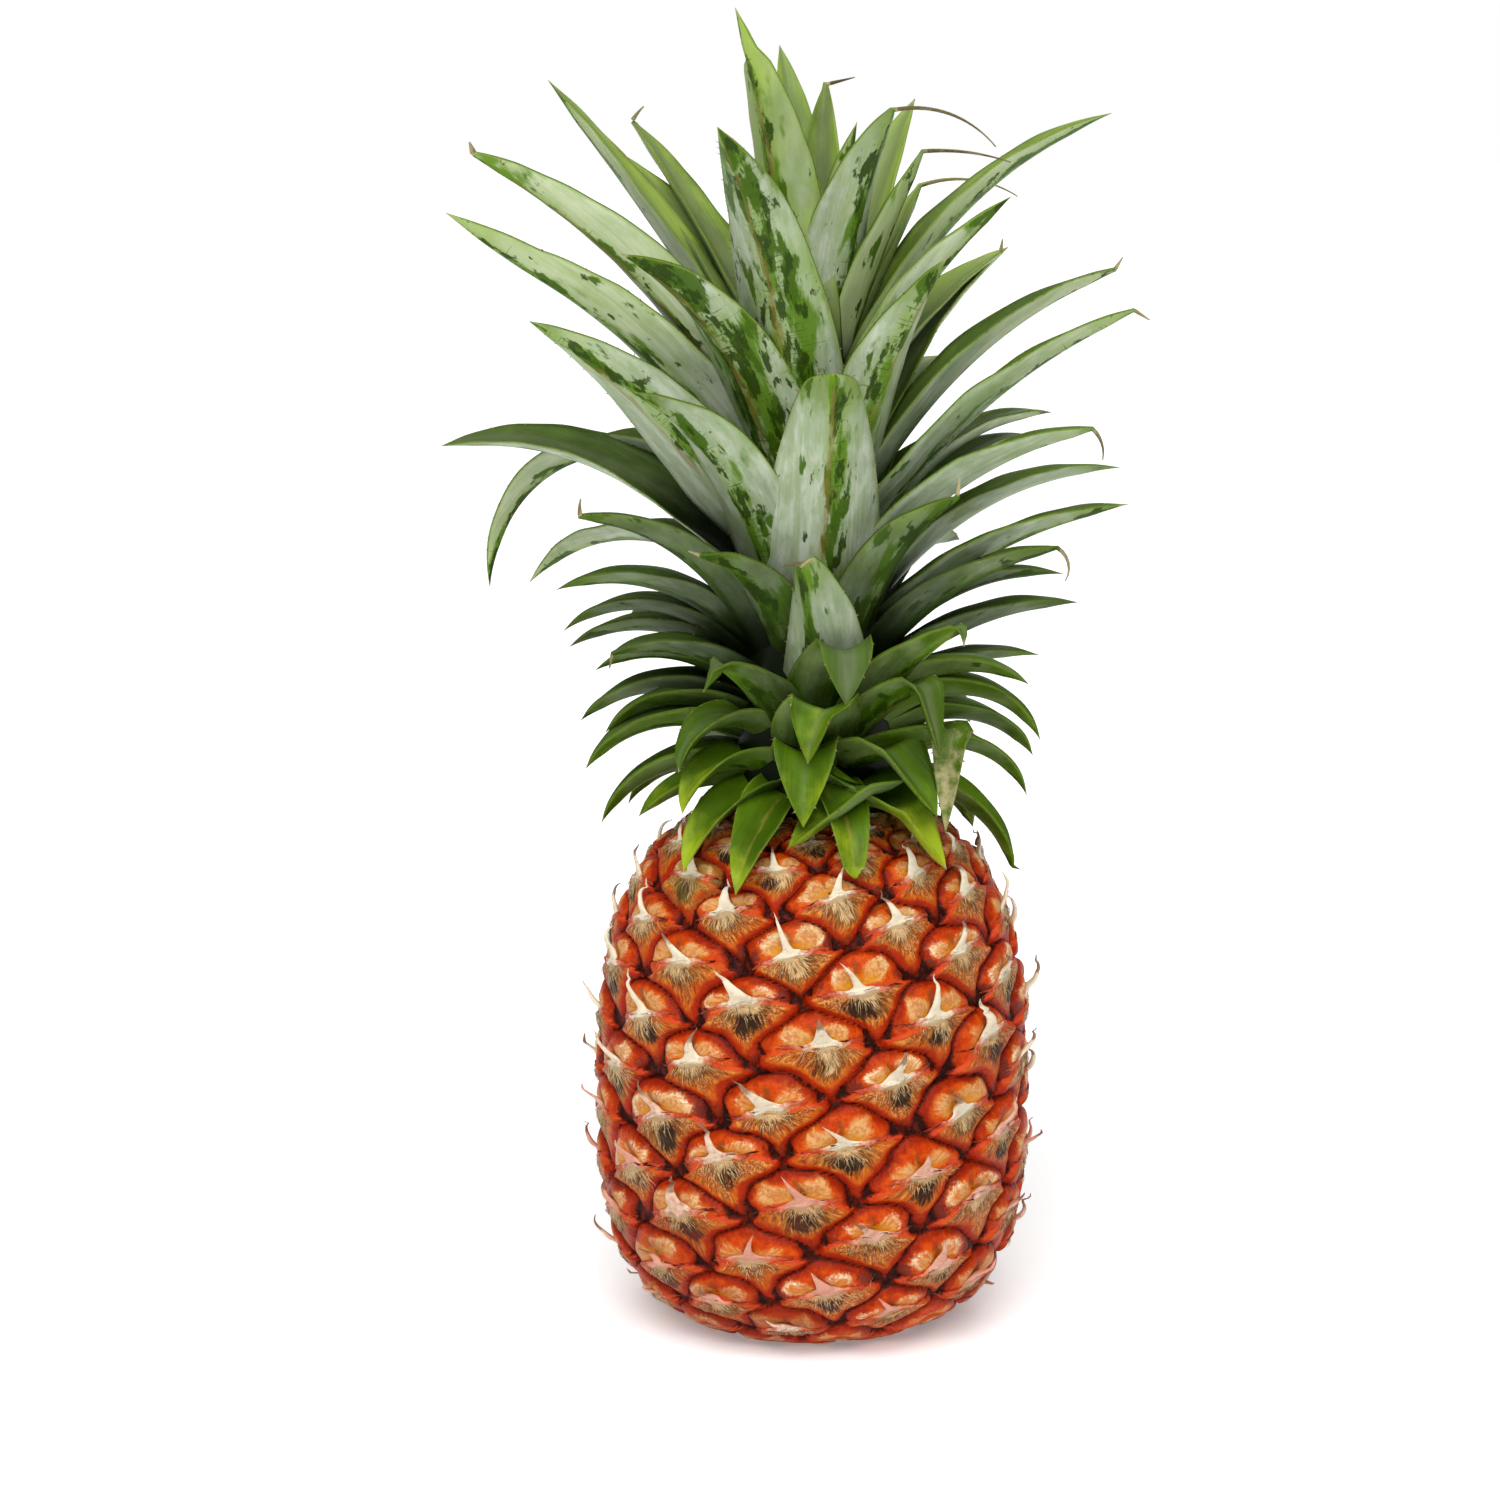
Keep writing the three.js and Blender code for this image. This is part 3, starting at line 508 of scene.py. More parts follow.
def clear_of_fruit(points):
    """Moves points that a drooping leaf would put into the fruit out to where they clear the eyes and spines."""
    r = np.hypot(points[:, 0], points[:, 1])
    z = points[:, 2]
    off = EYE_HEIGHT + OFF_SPINES + (OFF_FRUIT - OFF_SPINES) * smoothstep(z, SPINES_BELOW_Z - 4, 136)
    share = np.maximum(0, (z - WIDEST_Z) / (RISE_ABOVE + off))
    depth = (r / (FRUIT_RADIUS + off)) ** SQUARENESS_ABOVE + share ** SQUARENESS_ABOVE
    push = np.where(depth < 1, np.maximum(depth, 1e-6) ** (-1 / SQUARENESS_ABOVE), 1)
    return np.stack([points[:, 0] * push, points[:, 1] * push, WIDEST_Z + (z - WIDEST_Z) * push], 1)


def midrib(row, steps=60):
    """The line of a leaf: rise and heading change along it, and its fold and tail turn it at once. Returns the
    points, the share of the blade's length (past 1 on a tail) and the heading."""
    azimuth, root_z, length, rise_root, rise_tip, _, special = row
    fold, tail, swing = special.get("fold"), special.get("tail"), special.get("swing", 0)
    end = TAIL_START if tail else 1.0
    share = np.linspace(0, end, steps + 1)
    middle = (share[1:] + share[:-1]) / 2
    rise = rise_root + (rise_tip - rise_root) * middle ** BEND_EXPONENT
    heading = azimuth + swing * middle
    if fold:
        turned = smoothstep(middle, fold[0] - 0.02, fold[0] + 0.03)
        rise = rise + (fold[1] - rise) * turned
        heading = heading + (fold[2] - heading) * turned
    distance = np.full(steps, length * end / steps)
    if tail:
        parts = max(6, int(tail[0] / 1.6))
        along = (np.arange(parts) + 0.5) / parts
        rise = np.concatenate([rise, tail[1] + (tail[2] - tail[1]) * along])
        heading = np.concatenate([heading, np.full(parts, tail[3])])
        distance = np.concatenate([distance, np.full(parts, tail[0] / parts)])
        share = np.concatenate([share, 1 + (np.arange(parts) + 1) / parts * tail[0] / length])
    level = distance * np.cos(np.radians(rise))
    h = np.radians(heading)
    moves = np.stack([level * np.sin(h), -level * np.cos(h), distance * np.sin(np.radians(rise))], 1)
    a = math.radians(azimuth)
    reach = stem_radius(root_z) * ROOT_SHARE
    start = np.array([[reach * math.sin(a), -reach * math.cos(a), root_z]])
    points = np.concatenate([start, start + np.cumsum(moves, 0)])
    return clear_of_fruit(points), share, np.concatenate([heading[:1], heading])


def half_width(width, share, blunt=0.0, waist=0.7):
    """Half the width of a blade along its midrib: it widens from its waist, then narrows as 1 - s^2.8 to a point
    or to a blunt end, and has none on a withered tail."""
    body = waist + (1 - waist) * smoothstep(share, -0.2, 0.42)
    taper = blunt + (1 - blunt) * (1 - np.clip(share, 0, 1) ** 2.8)
    if blunt:
        taper = taper * np.sqrt(np.clip((1.0 - share) / 0.05, 0.02, 1))
    return width / 2 * body * np.where(share < 1, taper, 0)


def leaf_skin(row, number, steps=49):
    """A blade as one closed skin round its midrib. Across the blade it is a channel whose depth grows as
    0.45 |u| + 0.55 u^2 from the midrib to the edges, thick in the middle and thin at the edges, with a slight
    wave along it. Returns the skin, the numbers for its material and its two edges."""
    width, special = row[5], row[6]
    points, share, heading = midrib(row, steps)
    along = unit(np.gradient(points, axis=0))
    h = np.radians(heading)
    side = np.stack([np.cos(h), np.sin(h), 0 * h], 1)
    side = unit(side - along * (side * along).sum(1, keepdims=True))
    inner = unit(np.cross(along, side))
    twist = np.radians(special.get("twist", 0)) * smoothstep(share, -0.1, 0.35)[:, None]
    side, inner = side * np.cos(twist) + inner * np.sin(twist), inner * np.cos(twist) - side * np.sin(twist)
    half = half_width(width, share, **{key: special[key] for key in ("blunt", "waist") if key in special})
    tail = THREAD * np.clip(1.0 - 0.75 * (share - 1) / max(share[-1] - 1, 0.01), 0.2, 1)
    half = np.maximum(half, np.where(share > 0.9, tail if special.get("tail") else 0.12, 0))
    u = np.linspace(-1, 1, LEAF_ACROSS)
    channel = np.minimum(CHANNEL_DEPTH, half * (0.85 - 0.25 * np.minimum(1, share * 1.6)))[:, None]
    draw = np.random.default_rng(100 + number)
    phase, pace = draw.uniform(0, 6.28, 3), draw.uniform(0.09, 0.16, 3)
    length = (row[2] * share)[:, None]
    wave = 0.3 * np.sin(length * pace[0] + phase[0] + 1.5 * u) * u * u
    wave += 0.12 * np.sin(length * 3 * pace[1] + phase[1] - 2 * u) * np.abs(u)
    lift = channel * (0.45 * np.abs(u) + 0.55 * u * u) + wave * np.minimum(1, half / 4)[:, None]
    middle = np.minimum(BLADE_MIDRIB, half * 0.8)[:, None]
    edge = np.minimum(BLADE_EDGE, half * 0.3)[:, None]
    thick = (edge + (middle - edge) * (1 - np.abs(u) ** 1.5))[..., None] * inner[:, None] / 2
    sheet = points[:, None] + side[:, None] * (half[:, None] * u)[..., None] + inner[:, None] * lift[..., None]
    rings = np.concatenate([sheet - thick, (sheet + thick)[:, ::-1]], 1)
    skin = closed_skin(rings, points[0], points[-1] + along[-1] * 0.05)
    around, face = np.concatenate([u, u[::-1]]), np.repeat([0.0, 1.0], LEAF_ACROSS)
    fields = dict(across_mm=around * half[:, None], along_mm=length, across=around, along=share[:, None], inside=face)
    values = {}
    for key, field in fields.items():
        flat = np.broadcast_to(field, rings.shape[:2]).ravel()
        values[key] = np.concatenate([flat, [flat[0], flat[-1]]])
    return skin, values, (sheet[:, 0], sheet[:, -1], side, along, half)


def back_leaves():
    """The leaves behind, from foot to top of the stem, each by the golden share of the arc."""
    keys = np.array(HABIT, float)
    rows = []
    for i in range(BACK_LEAVES):
        azimuth = BACK_MIDDLE + BACK_SPREAD * (2 * ((i * GOLDEN_SHARE) % 1) - 1)
        z = keys[0, 0] + (keys[-1, 0] - keys[0, 0]) * (i / (BACK_LEAVES - 1)) ** CROWDING
        rows.append((azimuth, z, *(float(np.interp(z, keys[:, 0], keys[:, k])) for k in (1, 2, 3, 4)), {}))
    return rows


# ---- Materials ----

def linear(colour):
    """An sRGB hex colour as linear red, green, blue and opacity."""
    parts = [int(colour[k:k + 2], 16) / 255 for k in (1, 3, 5)]
    return [c / 12.92 if c <= 0.04045 else ((c + 0.055) / 1.055) ** 2.4 for c in parts] + [1.0]


def add_node(tree, kind, inputs=None, output=0, **settings):
    """Adds a shader node, sets it up, fills its inputs (by name or number) with a link or a value and returns one
    of its outputs. A value that starts with # is a colour."""
    node = tree.nodes.new(kind)
    for key, value in settings.items():
        setattr(node, key, value)
    for key, value in (inputs or {}).items():
        if isinstance(value, bpy.types.NodeSocket):
            tree.links.new(value, node.inputs[key])
        else:
            node.inputs[key].default_value = linear(value) if isinstance(value, str) else value
    return node.outputs[output] if len(node.outputs) else None


def layered_material(name, base, layers, relief=None, **shader):
    """A material painted in layers. Each layer is a colour that shows where an attribute, with grain added, lies
    above a band: (colour, attribute or None for grain alone, low, high, grain in mm, grain strength, opacity).
    A grain of one size holds all round; one of two runs across and along the piece, by its attributes across_mm,
    along_mm and seed. relief is the grain and the depth of the surface's fine bumps, in mm."""
    material = bpy.data.materials.new(name)
    material.use_nodes = True
    tree = material.node_tree
    tree.nodes.clear()
    parts = [add_node(tree, "ShaderNodeAttribute", attribute_name=key, output=2)
             for key in ("across_mm", "along_mm", "seed")]
    along_piece = add_node(tree, "ShaderNodeCombineXYZ", dict(enumerate(parts)))
    all_round = add_node(tree, "ShaderNodeTexCoord", output=3)

    grains = []
    for size, detail in [(layer[4], 4.0) for layer in layers] + ([(relief[0], 3.0)] if relief else []):
        if isinstance(size, tuple):
            place, scale = along_piece, [1 / size[0], 1 / size[1], 1.0]
        else:
            place, scale = all_round, [1 / (size * MM)] * 3
        scaled = add_node(tree, "ShaderNodeVectorMath", {0: place, 1: scale}, operation="MULTIPLY")
        grains.append(add_node(tree, "ShaderNodeTexNoise",
                               {"Vector": scaled, "Scale": 1.0, "Detail": detail, "Roughness": 0.58}))
    colour = base
    for (tint, attribute, low, high, _, strength, opacity), grain in zip(layers, grains):
        value = add_node(tree, "ShaderNodeMath", {0: grain, 1: strength, 2: -strength / 2}, operation="MULTIPLY_ADD")
        if attribute:
            mask = add_node(tree, "ShaderNodeAttribute", attribute_name=attribute, output=2)
            value = add_node(tree, "ShaderNodeMath", {0: value, 1: mask}, operation="ADD")
        value = add_node(tree, "ShaderNodeMapRange", {0: value, 1: low, 2: high, 3: 0.0, 4: opacity},
                         interpolation_type="SMOOTHSTEP")
        colour = add_node(tree, "ShaderNodeMix", {0: value, 6: colour, 7: tint}, 2, data_type="RGBA")
    inputs = {"Base Color": colour, **{key.replace("_", " "): value for key, value in shader.items()}}
    if relief:
        inputs["Normal"] = add_node(tree, "ShaderNodeBump", {"Height": grains[-1], "Distance": relief[1] * MM})
    surface = add_node(tree, "ShaderNodeBsdfPrincipled", inputs)
    add_node(tree, "ShaderNodeOutputMaterial", {"Surface": surface})
    return material


# Rind: the waxy skin of a ripe fruit under dry bracts. Orange pillows with a pale woolly middle, ochre bracts with
# a fan of fibres below the fold and red edges, and dark red-brown furrows, with painted shade near black in them.
# Towards the underside a deeper red is painted on as shade.
RIND_COLOURS = [
    ("#CA4C02", None, -0.12, 0.14, 2.6, 1.0, 0.85),
    ("#A02800", None, 0.0, 0.2, 1.4, 1.2, 0.6),
    ("#E27E20", None, 0.2, 0.34, 0.7, 1.4, 0.4),
    ("#841600", "rim", 0.34, 0.98, 1.8, 0.9, 0.9),
    ("#B8560C", "bract", 0.1, 0.6, 2.4, 0.9, 0.9),
    ("#D08C3C", "bract", 0.5, 0.84, (0.8, 3.5), 1.5, 0.8),
    ("#7E2A04", "bract", 0.52, 0.75, (0.6, 4.0), 1.9, 0.8),
    ("#9E2000", "margin", 0.32, 0.85, 1.6, 1.1, 0.88),
    ("#DC9C60", "bract", 0.8, 0.96, 0.5, 1.8, 0.6),
    ("#4E1A08", "tip", 0.3, 0.85, 1.3, 1.4, 0.75),
    ("#C66612", "pale", 0.05, 0.75, 1.5, 1.2, 0.8),
    ("#CFA468", "pale", 0.36, 1.05, (1.0, 3.0), 1.9, 0.82),
    ("#A8480E", "pale", 0.8, 1.2, 1.0, 1.9, 0.55),
    ("#DCC294", "hairs", 0.4, 1.05, 0.8, 1.8, 0.8),
    ("#F0E0C6", "hairs", 0.68, 1.12, (0.4, 1.6), 2.2, 0.7),
    ("#CC8410", "glow", 0.2, 0.85, 1.6, 1.2, 0.8),
    ("#7E4420", "cleft", 0.45, 0.95, 0.8, 0.8, 0.7),
    ("#4E4018", "dot", 0.45, 0.85, 0.5, 0.8, 0.9),
    ("#54201A", "bruise", 0.3, 0.8, 1.0, 1.3, 0.8),
    ("#B07430", "fan", 0.2, 0.7, (0.9, 4.0), 1.3, 0.85),
    ("#6A3408", "fan", 0.3, 0.62, (0.5, 3.0), 1.9, 0.85),
    ("#E2C08A", "fan", 0.66, 0.98, (0.45, 3.5), 1.8, 0.75),
    ("#221006", "tuft", 0.3, 0.66, (0.6, 2.2), 1.4, 0.95),
    ("#8E7A30", "olive", 0.4, 0.95, 3.0, 0.8, 0.5),
    # painted shade: a deeper red towards the underside of the barrel
    ("#7E1E04", "low", 0.2, 1.1, 6.0, 1.0, 0.6),
    ("#CC4424", "fold", 0.45, 0.9, 1.2, 0.9, 0.8),
    # the furrows: the rind's own dark red-brown, then painted shade, near black, in the crevices between the eyes
    ("#520C00", "furrow", 0.12, 0.6, 1.2, 0.9, 0.9),
    ("#1C0400", "furrow", 0.46, 0.95, 1.6, 1.1, 0.94),
]
# Spines and the free edges that join them: dry, papery bract tissue, ivory on the upper eyes and pink on the lower.
BRACT_COLOURS = [
    ("#C4A888", None, 0.0, 0.25, 1.5, 1.0, 0.75),
    ("#CC7C68", "pink", 0.4, 0.95, 1.5, 0.8, 0.8),
    ("#A8917A", "along", 0.7, 1.3, 0.5, 1.0, 0.45),
    ("#A88C62", "foot", 0.3, 0.8, (0.4, 2.0), 1.0, 0.9),
    ("#C8643E", "far", 0.2, 0.5, 1.5, 0.8, 0.85),
    ("#A8300A", "far", 0.4, 0.72, 1.5, 0.8, 0.92),
    ("#6E4226", "dry", 0.35, 0.85, 1.2, 0.9, 0.85),
]
# Fibres of the torn bracts: pale where they leave the fold, brown at their ends.
FIBRE_COLOURS = [
    ("#96703E", "along", 0.1, 0.5, 1.5, 0.8, 0.9),
    ("#2E180A", "along", 0.35, 0.85, 1.5, 0.9, 0.95),
]
# Leaves: firm, waxy blades. A grey bloom lies on the backs and is rubbed off in places; fine ribs run lengthwise.
# Some rows are painted light and shade: dark towards the leaves' feet and in the crowded middle, light on upper
# backs.
LEAF_COLOURS = [
    ("#5C7E0A", None, -0.1, 0.25, (14, 40), 1.0, 0.75),
    ("#9EB84E", "young", 0.3, 0.9, (10, 26), 1.2, 0.85),
    ("#6A7654", "band", 0.25, 0.9, (3, 30), 0.8, 0.75),
    ("#82955E", "bloom", 0.3, 0.7, (8, 22), 1.0, 0.95),
    ("#9FAE90", "bloom", 0.56, 0.95, (7, 18), 1.3, 0.88),
    ("#C6CEBC", "bloom", 0.8, 1.2, (3, 9), 1.5, 0.65),
    # painted light: the backs of the upper leaves made paler and brighter, as if lit
    ("#B6C492", "sunny", 0.25, 0.95, (9, 26), 1.3, 0.7),
    ("#7A9046", "bloom", 0.9, 1.15, (1.3, 40), 1.8, 0.25),
    ("#7E9A42", "rub", 0.12, 0.78, (8, 30), 1.4, 0.75),
    ("#547A04", "rub", 0.42, 0.64, (5, 24), 2.0, 0.92),
    ("#3E5E02", "rub", 0.52, 0.66, (4, 16), 2.4, 0.96),
    ("#283E02", "rub", 0.62, 0.74, (3, 10), 2.6, 0.94),
    ("#466A0A", "rub", 0.8, 0.86, (1.3, 3.5), 2.5, 0.75),
    ("#3A5404", "rub", 0.72, 0.8, (9, 0.6), 2.2, 0.65),
    ("#7C9A2E", "edge", 0.6, 0.95, (2, 6), 0.8, 0.45),
    ("#7E7030", "rib", 0.5, 1.0, (2, 9), 2.4, 0.6),
    # painted shade over the leaves that spring from the crowded middle of the crown
    ("#2A3A16", "deep", 0.2, 1.15, (6, 20), 0.9, 0.85),
    ("#9CB020", "yellow", 0.2, 0.7, (6, 10), 0.8, 0.85),
    ("#B8B418", "yellow", 0.7, 1.1, (6, 10), 0.8, 0.7),
    # painted shade: dark towards each leaf's foot deep in the crown, and on the inner faces of the higher drooping
    # leaves
    ("#22320A", "shade", 0.3, 1.0, (6, 14), 0.5, 0.85),
    ("#081002", "shade", 0.62, 1.08, (6, 14), 0.5, 0.95),
    ("#A49A70", "dry", 0.3, 0.55, (3, 3), 0.6, 1.0),
    ("#5E5230", "dry", 0.55, 0.95, (1.5, 4), 1.4, 0.85),
]
# Stalk: dried fibrous wood where the fruit was cut off, with darker pores.
WOOD_COLOURS = [("#6B5034", None, -0.1, 0.2, 1.2, 1.0, 0.8), ("#3C2A1B", None, 0.1, 0.3, 0.5, 1.0, 0.6)]

rind_skin = layered_material("waxy_pineapple_rind", "#B63200", RIND_COLOURS, relief=(1.1, 0.5), Roughness=0.42,
                             Specular_IOR_Level=0.1)
dry_bract = layered_material("dry_papery_bract", "#DED2B8", BRACT_COLOURS, relief=(0.6, 0.15), Roughness=0.7,
                             Specular_IOR_Level=0.3)
torn_fibre = layered_material("torn_bract_fibre", "#C8B088", FIBRE_COLOURS, Roughness=0.75,
                              Specular_IOR_Level=0.3)
waxy_leaf = layered_material("waxy_pineapple_leaf", "#3C5606", LEAF_COLOURS, relief=((0.8, 30.0), 0.2),
                             Roughness=0.45, Specular_IOR_Level=0.14)
cut_wood = layered_material("dried_cut_stalk", "#8A6A45", WOOD_COLOURS, Roughness=0.85, relief=(0.8, 0.3))


# ---- Pieces of the fruit ----

# The free edge of a bract from under its fold to the tip of its spine: share of the way, place up the eye,
# half-width and how far it stands above the eye's surface, all in mm.
SPINE_PROFILE = np.array([
    (0.00, -3.0, 1.2, -0.8), (0.07, -2.0, 3.6, -0.35), (0.14, -0.9, 8.0, -0.1), (0.21, -0.1, 12.8, 0.25),
    (0.27, 0.25, 8.4, 0.4), (0.34, 0.8, 4.4, 0.6), (0.42, 1.7, 2.9, 1.0), (0.51, 2.9, 2.2, 1.5),
    (0.62, 4.6, 1.7, 2.2), (0.74, 6.8, 1.15, 3.1), (0.87, 9.4, 0.65, 4.1), (0.95, 11.0, 0.3, 4.7),
    (1.00, 12.0, 0.06, 5.0)])
SPINE_LENGTH = 12.0
FREE_EDGE = 12.6  # half the width of the free edge, mm


def spine(eye, reach, lean, curl, girth, phase):
    """A bract's free edge: rings of 20 points along SPINE_PROFILE. Beside the spine it is a thin ragged skin that
    lies on the fold, and in the middle a round spike that leans and curls by the square of the way up."""
    v = np.linspace(0, 1, 24)[:, None]
    turn = np.linspace(0, 2 * math.pi, 20, endpoint=False)[None]
    up, half, stand = (np.interp(v, SPINE_PROFILE[:, 0], SPINE_PROFILE[:, k]) for k in (1, 2, 3))
    above = np.maximum(up, 0) / SPINE_LENGTH
    wing = smoothstep(half, 2.5, 6)
    middle = lean * above ** 1.5
    x = middle * HALF_EYE[0] + half * (girth + (1 - girth) * wing) * np.cos(turn)
    ragged = 0.35 * np.sin(1.1 * x + phase[0]) + 0.25 * np.sin(2.7 * x + phase[1]) + 0.16 * np.sin(5.3 * x + phase[2])
    fold = fold_height(x, EYE_DRAWS[eye % len(EYE_DRAWS)])
    up = np.minimum(up, 0) + above * SPINE_LENGTH * reach + wing * ragged + (1 - above) * fold
    ground = relief_near(eye, middle, up / HALF_EYE[1])
    ground = ground + (relief_near(eye, x / HALF_EYE[0], up / HALF_EYE[1]) - ground) * wing
    thick = np.interp(v, [0, 0.15, 0.3, 0.5, 1], [0.05, 0.12, 0.2, 0.28, 0.04])
    thick = thick * (1 - 0.6 * wing * np.abs(np.cos(turn)))
    rise = ground + stand / EYE_HEIGHT * (0.4 + 0.6 * reach) + curl * above ** 2
    rings = near_eye(eye, x / HALF_EYE[0], up / HALF_EYE[1], np.minimum(rise, 2.2) + thick * np.sin(turn))
    numbers = dict(along=v + 0 * x, across_mm=x, along_mm=up + 0 * x, far=np.abs(x) / FREE_EDGE,
                   foot=smoothstep(-v, -0.26, -0.1) + 0 * x)
    skin = closed_skin(rings, rings[0].mean(0), rings[-1].mean(0))
    return skin, {key: np.append(number.ravel(), number[[0, -1], 0]) for key, number in numbers.items()}


def add_spines():
    """The free edges of the bracts, one an eye, each with its spine."""
    spines = Bundle()
    for eye in EYES:
        z = np.interp(eye, NUMBER, OUT_Z)
        low = smoothstep(-z, -95, -35)
        reach = rng.uniform(0.55, 1.0) * (1 - 0.4 * low * rng.random())
        curl, high = rng.uniform(-0.4, 1.3), float(z > SPINES_BELOW_Z + 12)
        if high:
            reach, curl = 0.45, -0.3
        skin, numbers = spine(eye, reach, rng.uniform(-0.32, 0.32), curl, rng.uniform(0.5, 1.2),
                              rng.uniform(0, 6.28, 3))
        dry = (0.45 + 0.7 * (rng.random() < 0.55)) * smoothstep(numbers["along"], 0.5, 1.0) + 0.5 * high
        spines.add(skin, pink=np.clip(low + rng.uniform(-0.35, 0.35), 0, 1), seed=float(eye), dry=dry, **numbers)
    spines.build("spines", dry_bract)


def add_fibres():
    """Fibres that fan out below the middle of each fold, thin tapered threads on a shallow arc."""
    fibres = Bundle()
    turn = np.linspace(0, 2 * math.pi, 3, endpoint=False)[None]
    v = np.linspace(0, 1, 4)[:, None]
    for eye in EYES:
        matted = rng.uniform(0.35, 1.3)
        for _ in range(FIBRES_PER_EYE):
            start = rng.normal(0, 4.2)
            way = start * 0.13 + rng.normal(0, 0.3)
            length = rng.uniform(1.2, 4.5)
            across = start + length * math.sin(way) * v
            up = rng.uniform(-4.8, -0.6) * (1 - 0.06 * abs(start)) - length * math.cos(way) * v
            up = up + fold_height(start, EYE_DRAWS[eye % len(EYE_DRAWS)])
            across, up = across / HALF_EYE[0], up / HALF_EYE[1]
            height = relief_near(eye, across, up) + rng.uniform(0.03, 0.2) * np.sin(np.pi * np.minimum(v, 0.9))
            thick = 0.12 * (1 - 0.7 * v)
            rings = near_eye(eye, across + thick * np.cos(turn) / HALF_EYE[0], up + 0 * turn,
                             height + thick * np.sin(turn) / EYE_HEIGHT)
            fibres.add(closed_skin(rings, rings[0].mean(0), rings[-1].mean(0)),
                       along=(0.15 + np.append(np.repeat(v, 3), [0, 1])) * rng.uniform(0.2, 1.2) * matted)
    fibres.build("bract_fibres", torn_fibre)


# ---- Pieces of the crown ----

DARK_MIDDLE_Z = 172  # the leaves that spring from about here lie in deep shade


def add_leaves():
    """All the leaves, in three pieces by the height of their roots, and the teeth along the edges of the lower.
    Each number for the material is 0 to about 1, a bell or a step in along and across, the shares of the way
    along and across the blade, or in row[1], the height of its root."""
    rows = LEAVES + back_leaves()
    order = sorted(range(len(rows)), key=lambda k: rows[k][1])
    names = ["lower_leaves", "middle_leaves", "upper_leaves"]
    share = math.ceil(len(rows) / 3)
    teeth = Bundle()
    for k, name in enumerate(names):
        leaves = Bundle()
        for number in order[k * share:(k + 1) * share]:
            row = rows[number]
            skin, values, edges = leaf_skin(row, number)
            draw = np.random.default_rng(500 + number).random(6)
            along, across, inside = values["along"], values["across"], values["inside"]
            outer = 1 - inside
            low = float(smoothstep(-row[1], -200, -165))
            droops = float(row[1] < 165 and (row[4] < 20 or "fold" in row[6]))
            streak = np.exp(-((across - 0.6 * (draw[4] - 0.5)) / 0.3) ** 2)
            rubbed = 0.02 + 0.24 * draw[3] + 0.52 * streak - 0.45 * smoothstep(-along, -0.35, 0)
            mid = float(np.exp(-((row[1] - DARK_MIDDLE_Z) / 16) ** 2))
            front = np.exp(-(row[0] / 50) ** 2)
            withered = row[6].get("withered", 0)
            leaves.add(
                skin,
                across_mm=values["across_mm"], along_mm=values["along_mm"], seed=draw[0] * 40 + 100 * inside,
                young=smoothstep(row[1] + 60 * along, 215, 292) * (0.5 + 0.5 * draw[1]),
                # painted shade on the leaves that spring from the crowded middle of the crown
                deep=mid * (1 - 0.3 * smoothstep(along, 0.3, 1.0)),
                # painted light on the backs of the upper leaves
                sunny=outer * smoothstep(row[1] + 60 * along, 225, 270) * (0.85 - 0.7 * front),
                yellow=smoothstep(along, 0.3, 1.05) * droops * (0.3 + 0.8 * draw[2]) * (0.3 + 0.8 * front)
                * (1 - 0.75 * smoothstep(row[1], 150, 160)),
                bloom=outer * (0.98 - 0.5 * smoothstep(along, 0.75, 1.0) - 0.25 * low * (row[4] < 50) - 0.3 * droops
                               - 0.5 * smoothstep(row[1], 244, 262)),
                rub=outer * np.minimum(rubbed + row[6].get("worn", 0) + 0.25 * smoothstep(along, 0.75, 1.0), 0.56),
                band=inside * (1 - 0.8 * droops * smoothstep(-row[1], -164, -148))
                * (0.45 + 0.4 * np.exp(-(across / 0.5) ** 2)),
                rib=np.exp(-(across / 0.13) ** 2) * smoothstep(draw[5], 0.3, 0.8) * smoothstep(along, 0.1, 0.4),
                edge=smoothstep(np.abs(across), 0.85, 1.0),
                # painted shade: towards each leaf's foot, more in the crown's middle, and on inner faces of the
                # higher drooping leaves
                shade=(1 + 0.45 * mid - 0.42 * droops) * (1 - smoothstep(along, 0.0, 0.5 + 0.3 * mid))
                + 0.3 * inside * mid * (1 - smoothstep(along, 0.5, 0.95))
                + 0.62 * inside * (row[4] < 0) * smoothstep(row[1], 185, 195),
                dry=np.maximum(smoothstep(along, 0.93 + 0.04 * draw[4], 1.02)
                               * (0.5 + 0.6 * draw[2] if row[6].get("tail") else 0.35 + 0.6 * draw[2]),
                               withered * (0.24 + 0.2 * smoothstep(along, 0.3, 0.9))),
            )
            add_teeth(teeth, row, edges, number)
        leaves.build(name, waxy_leaf)
    teeth.build("leaf_teeth", torn_fibre)


TOOTHED_BELOW_Z = 235  # leaves that spring from above here are young and smooth


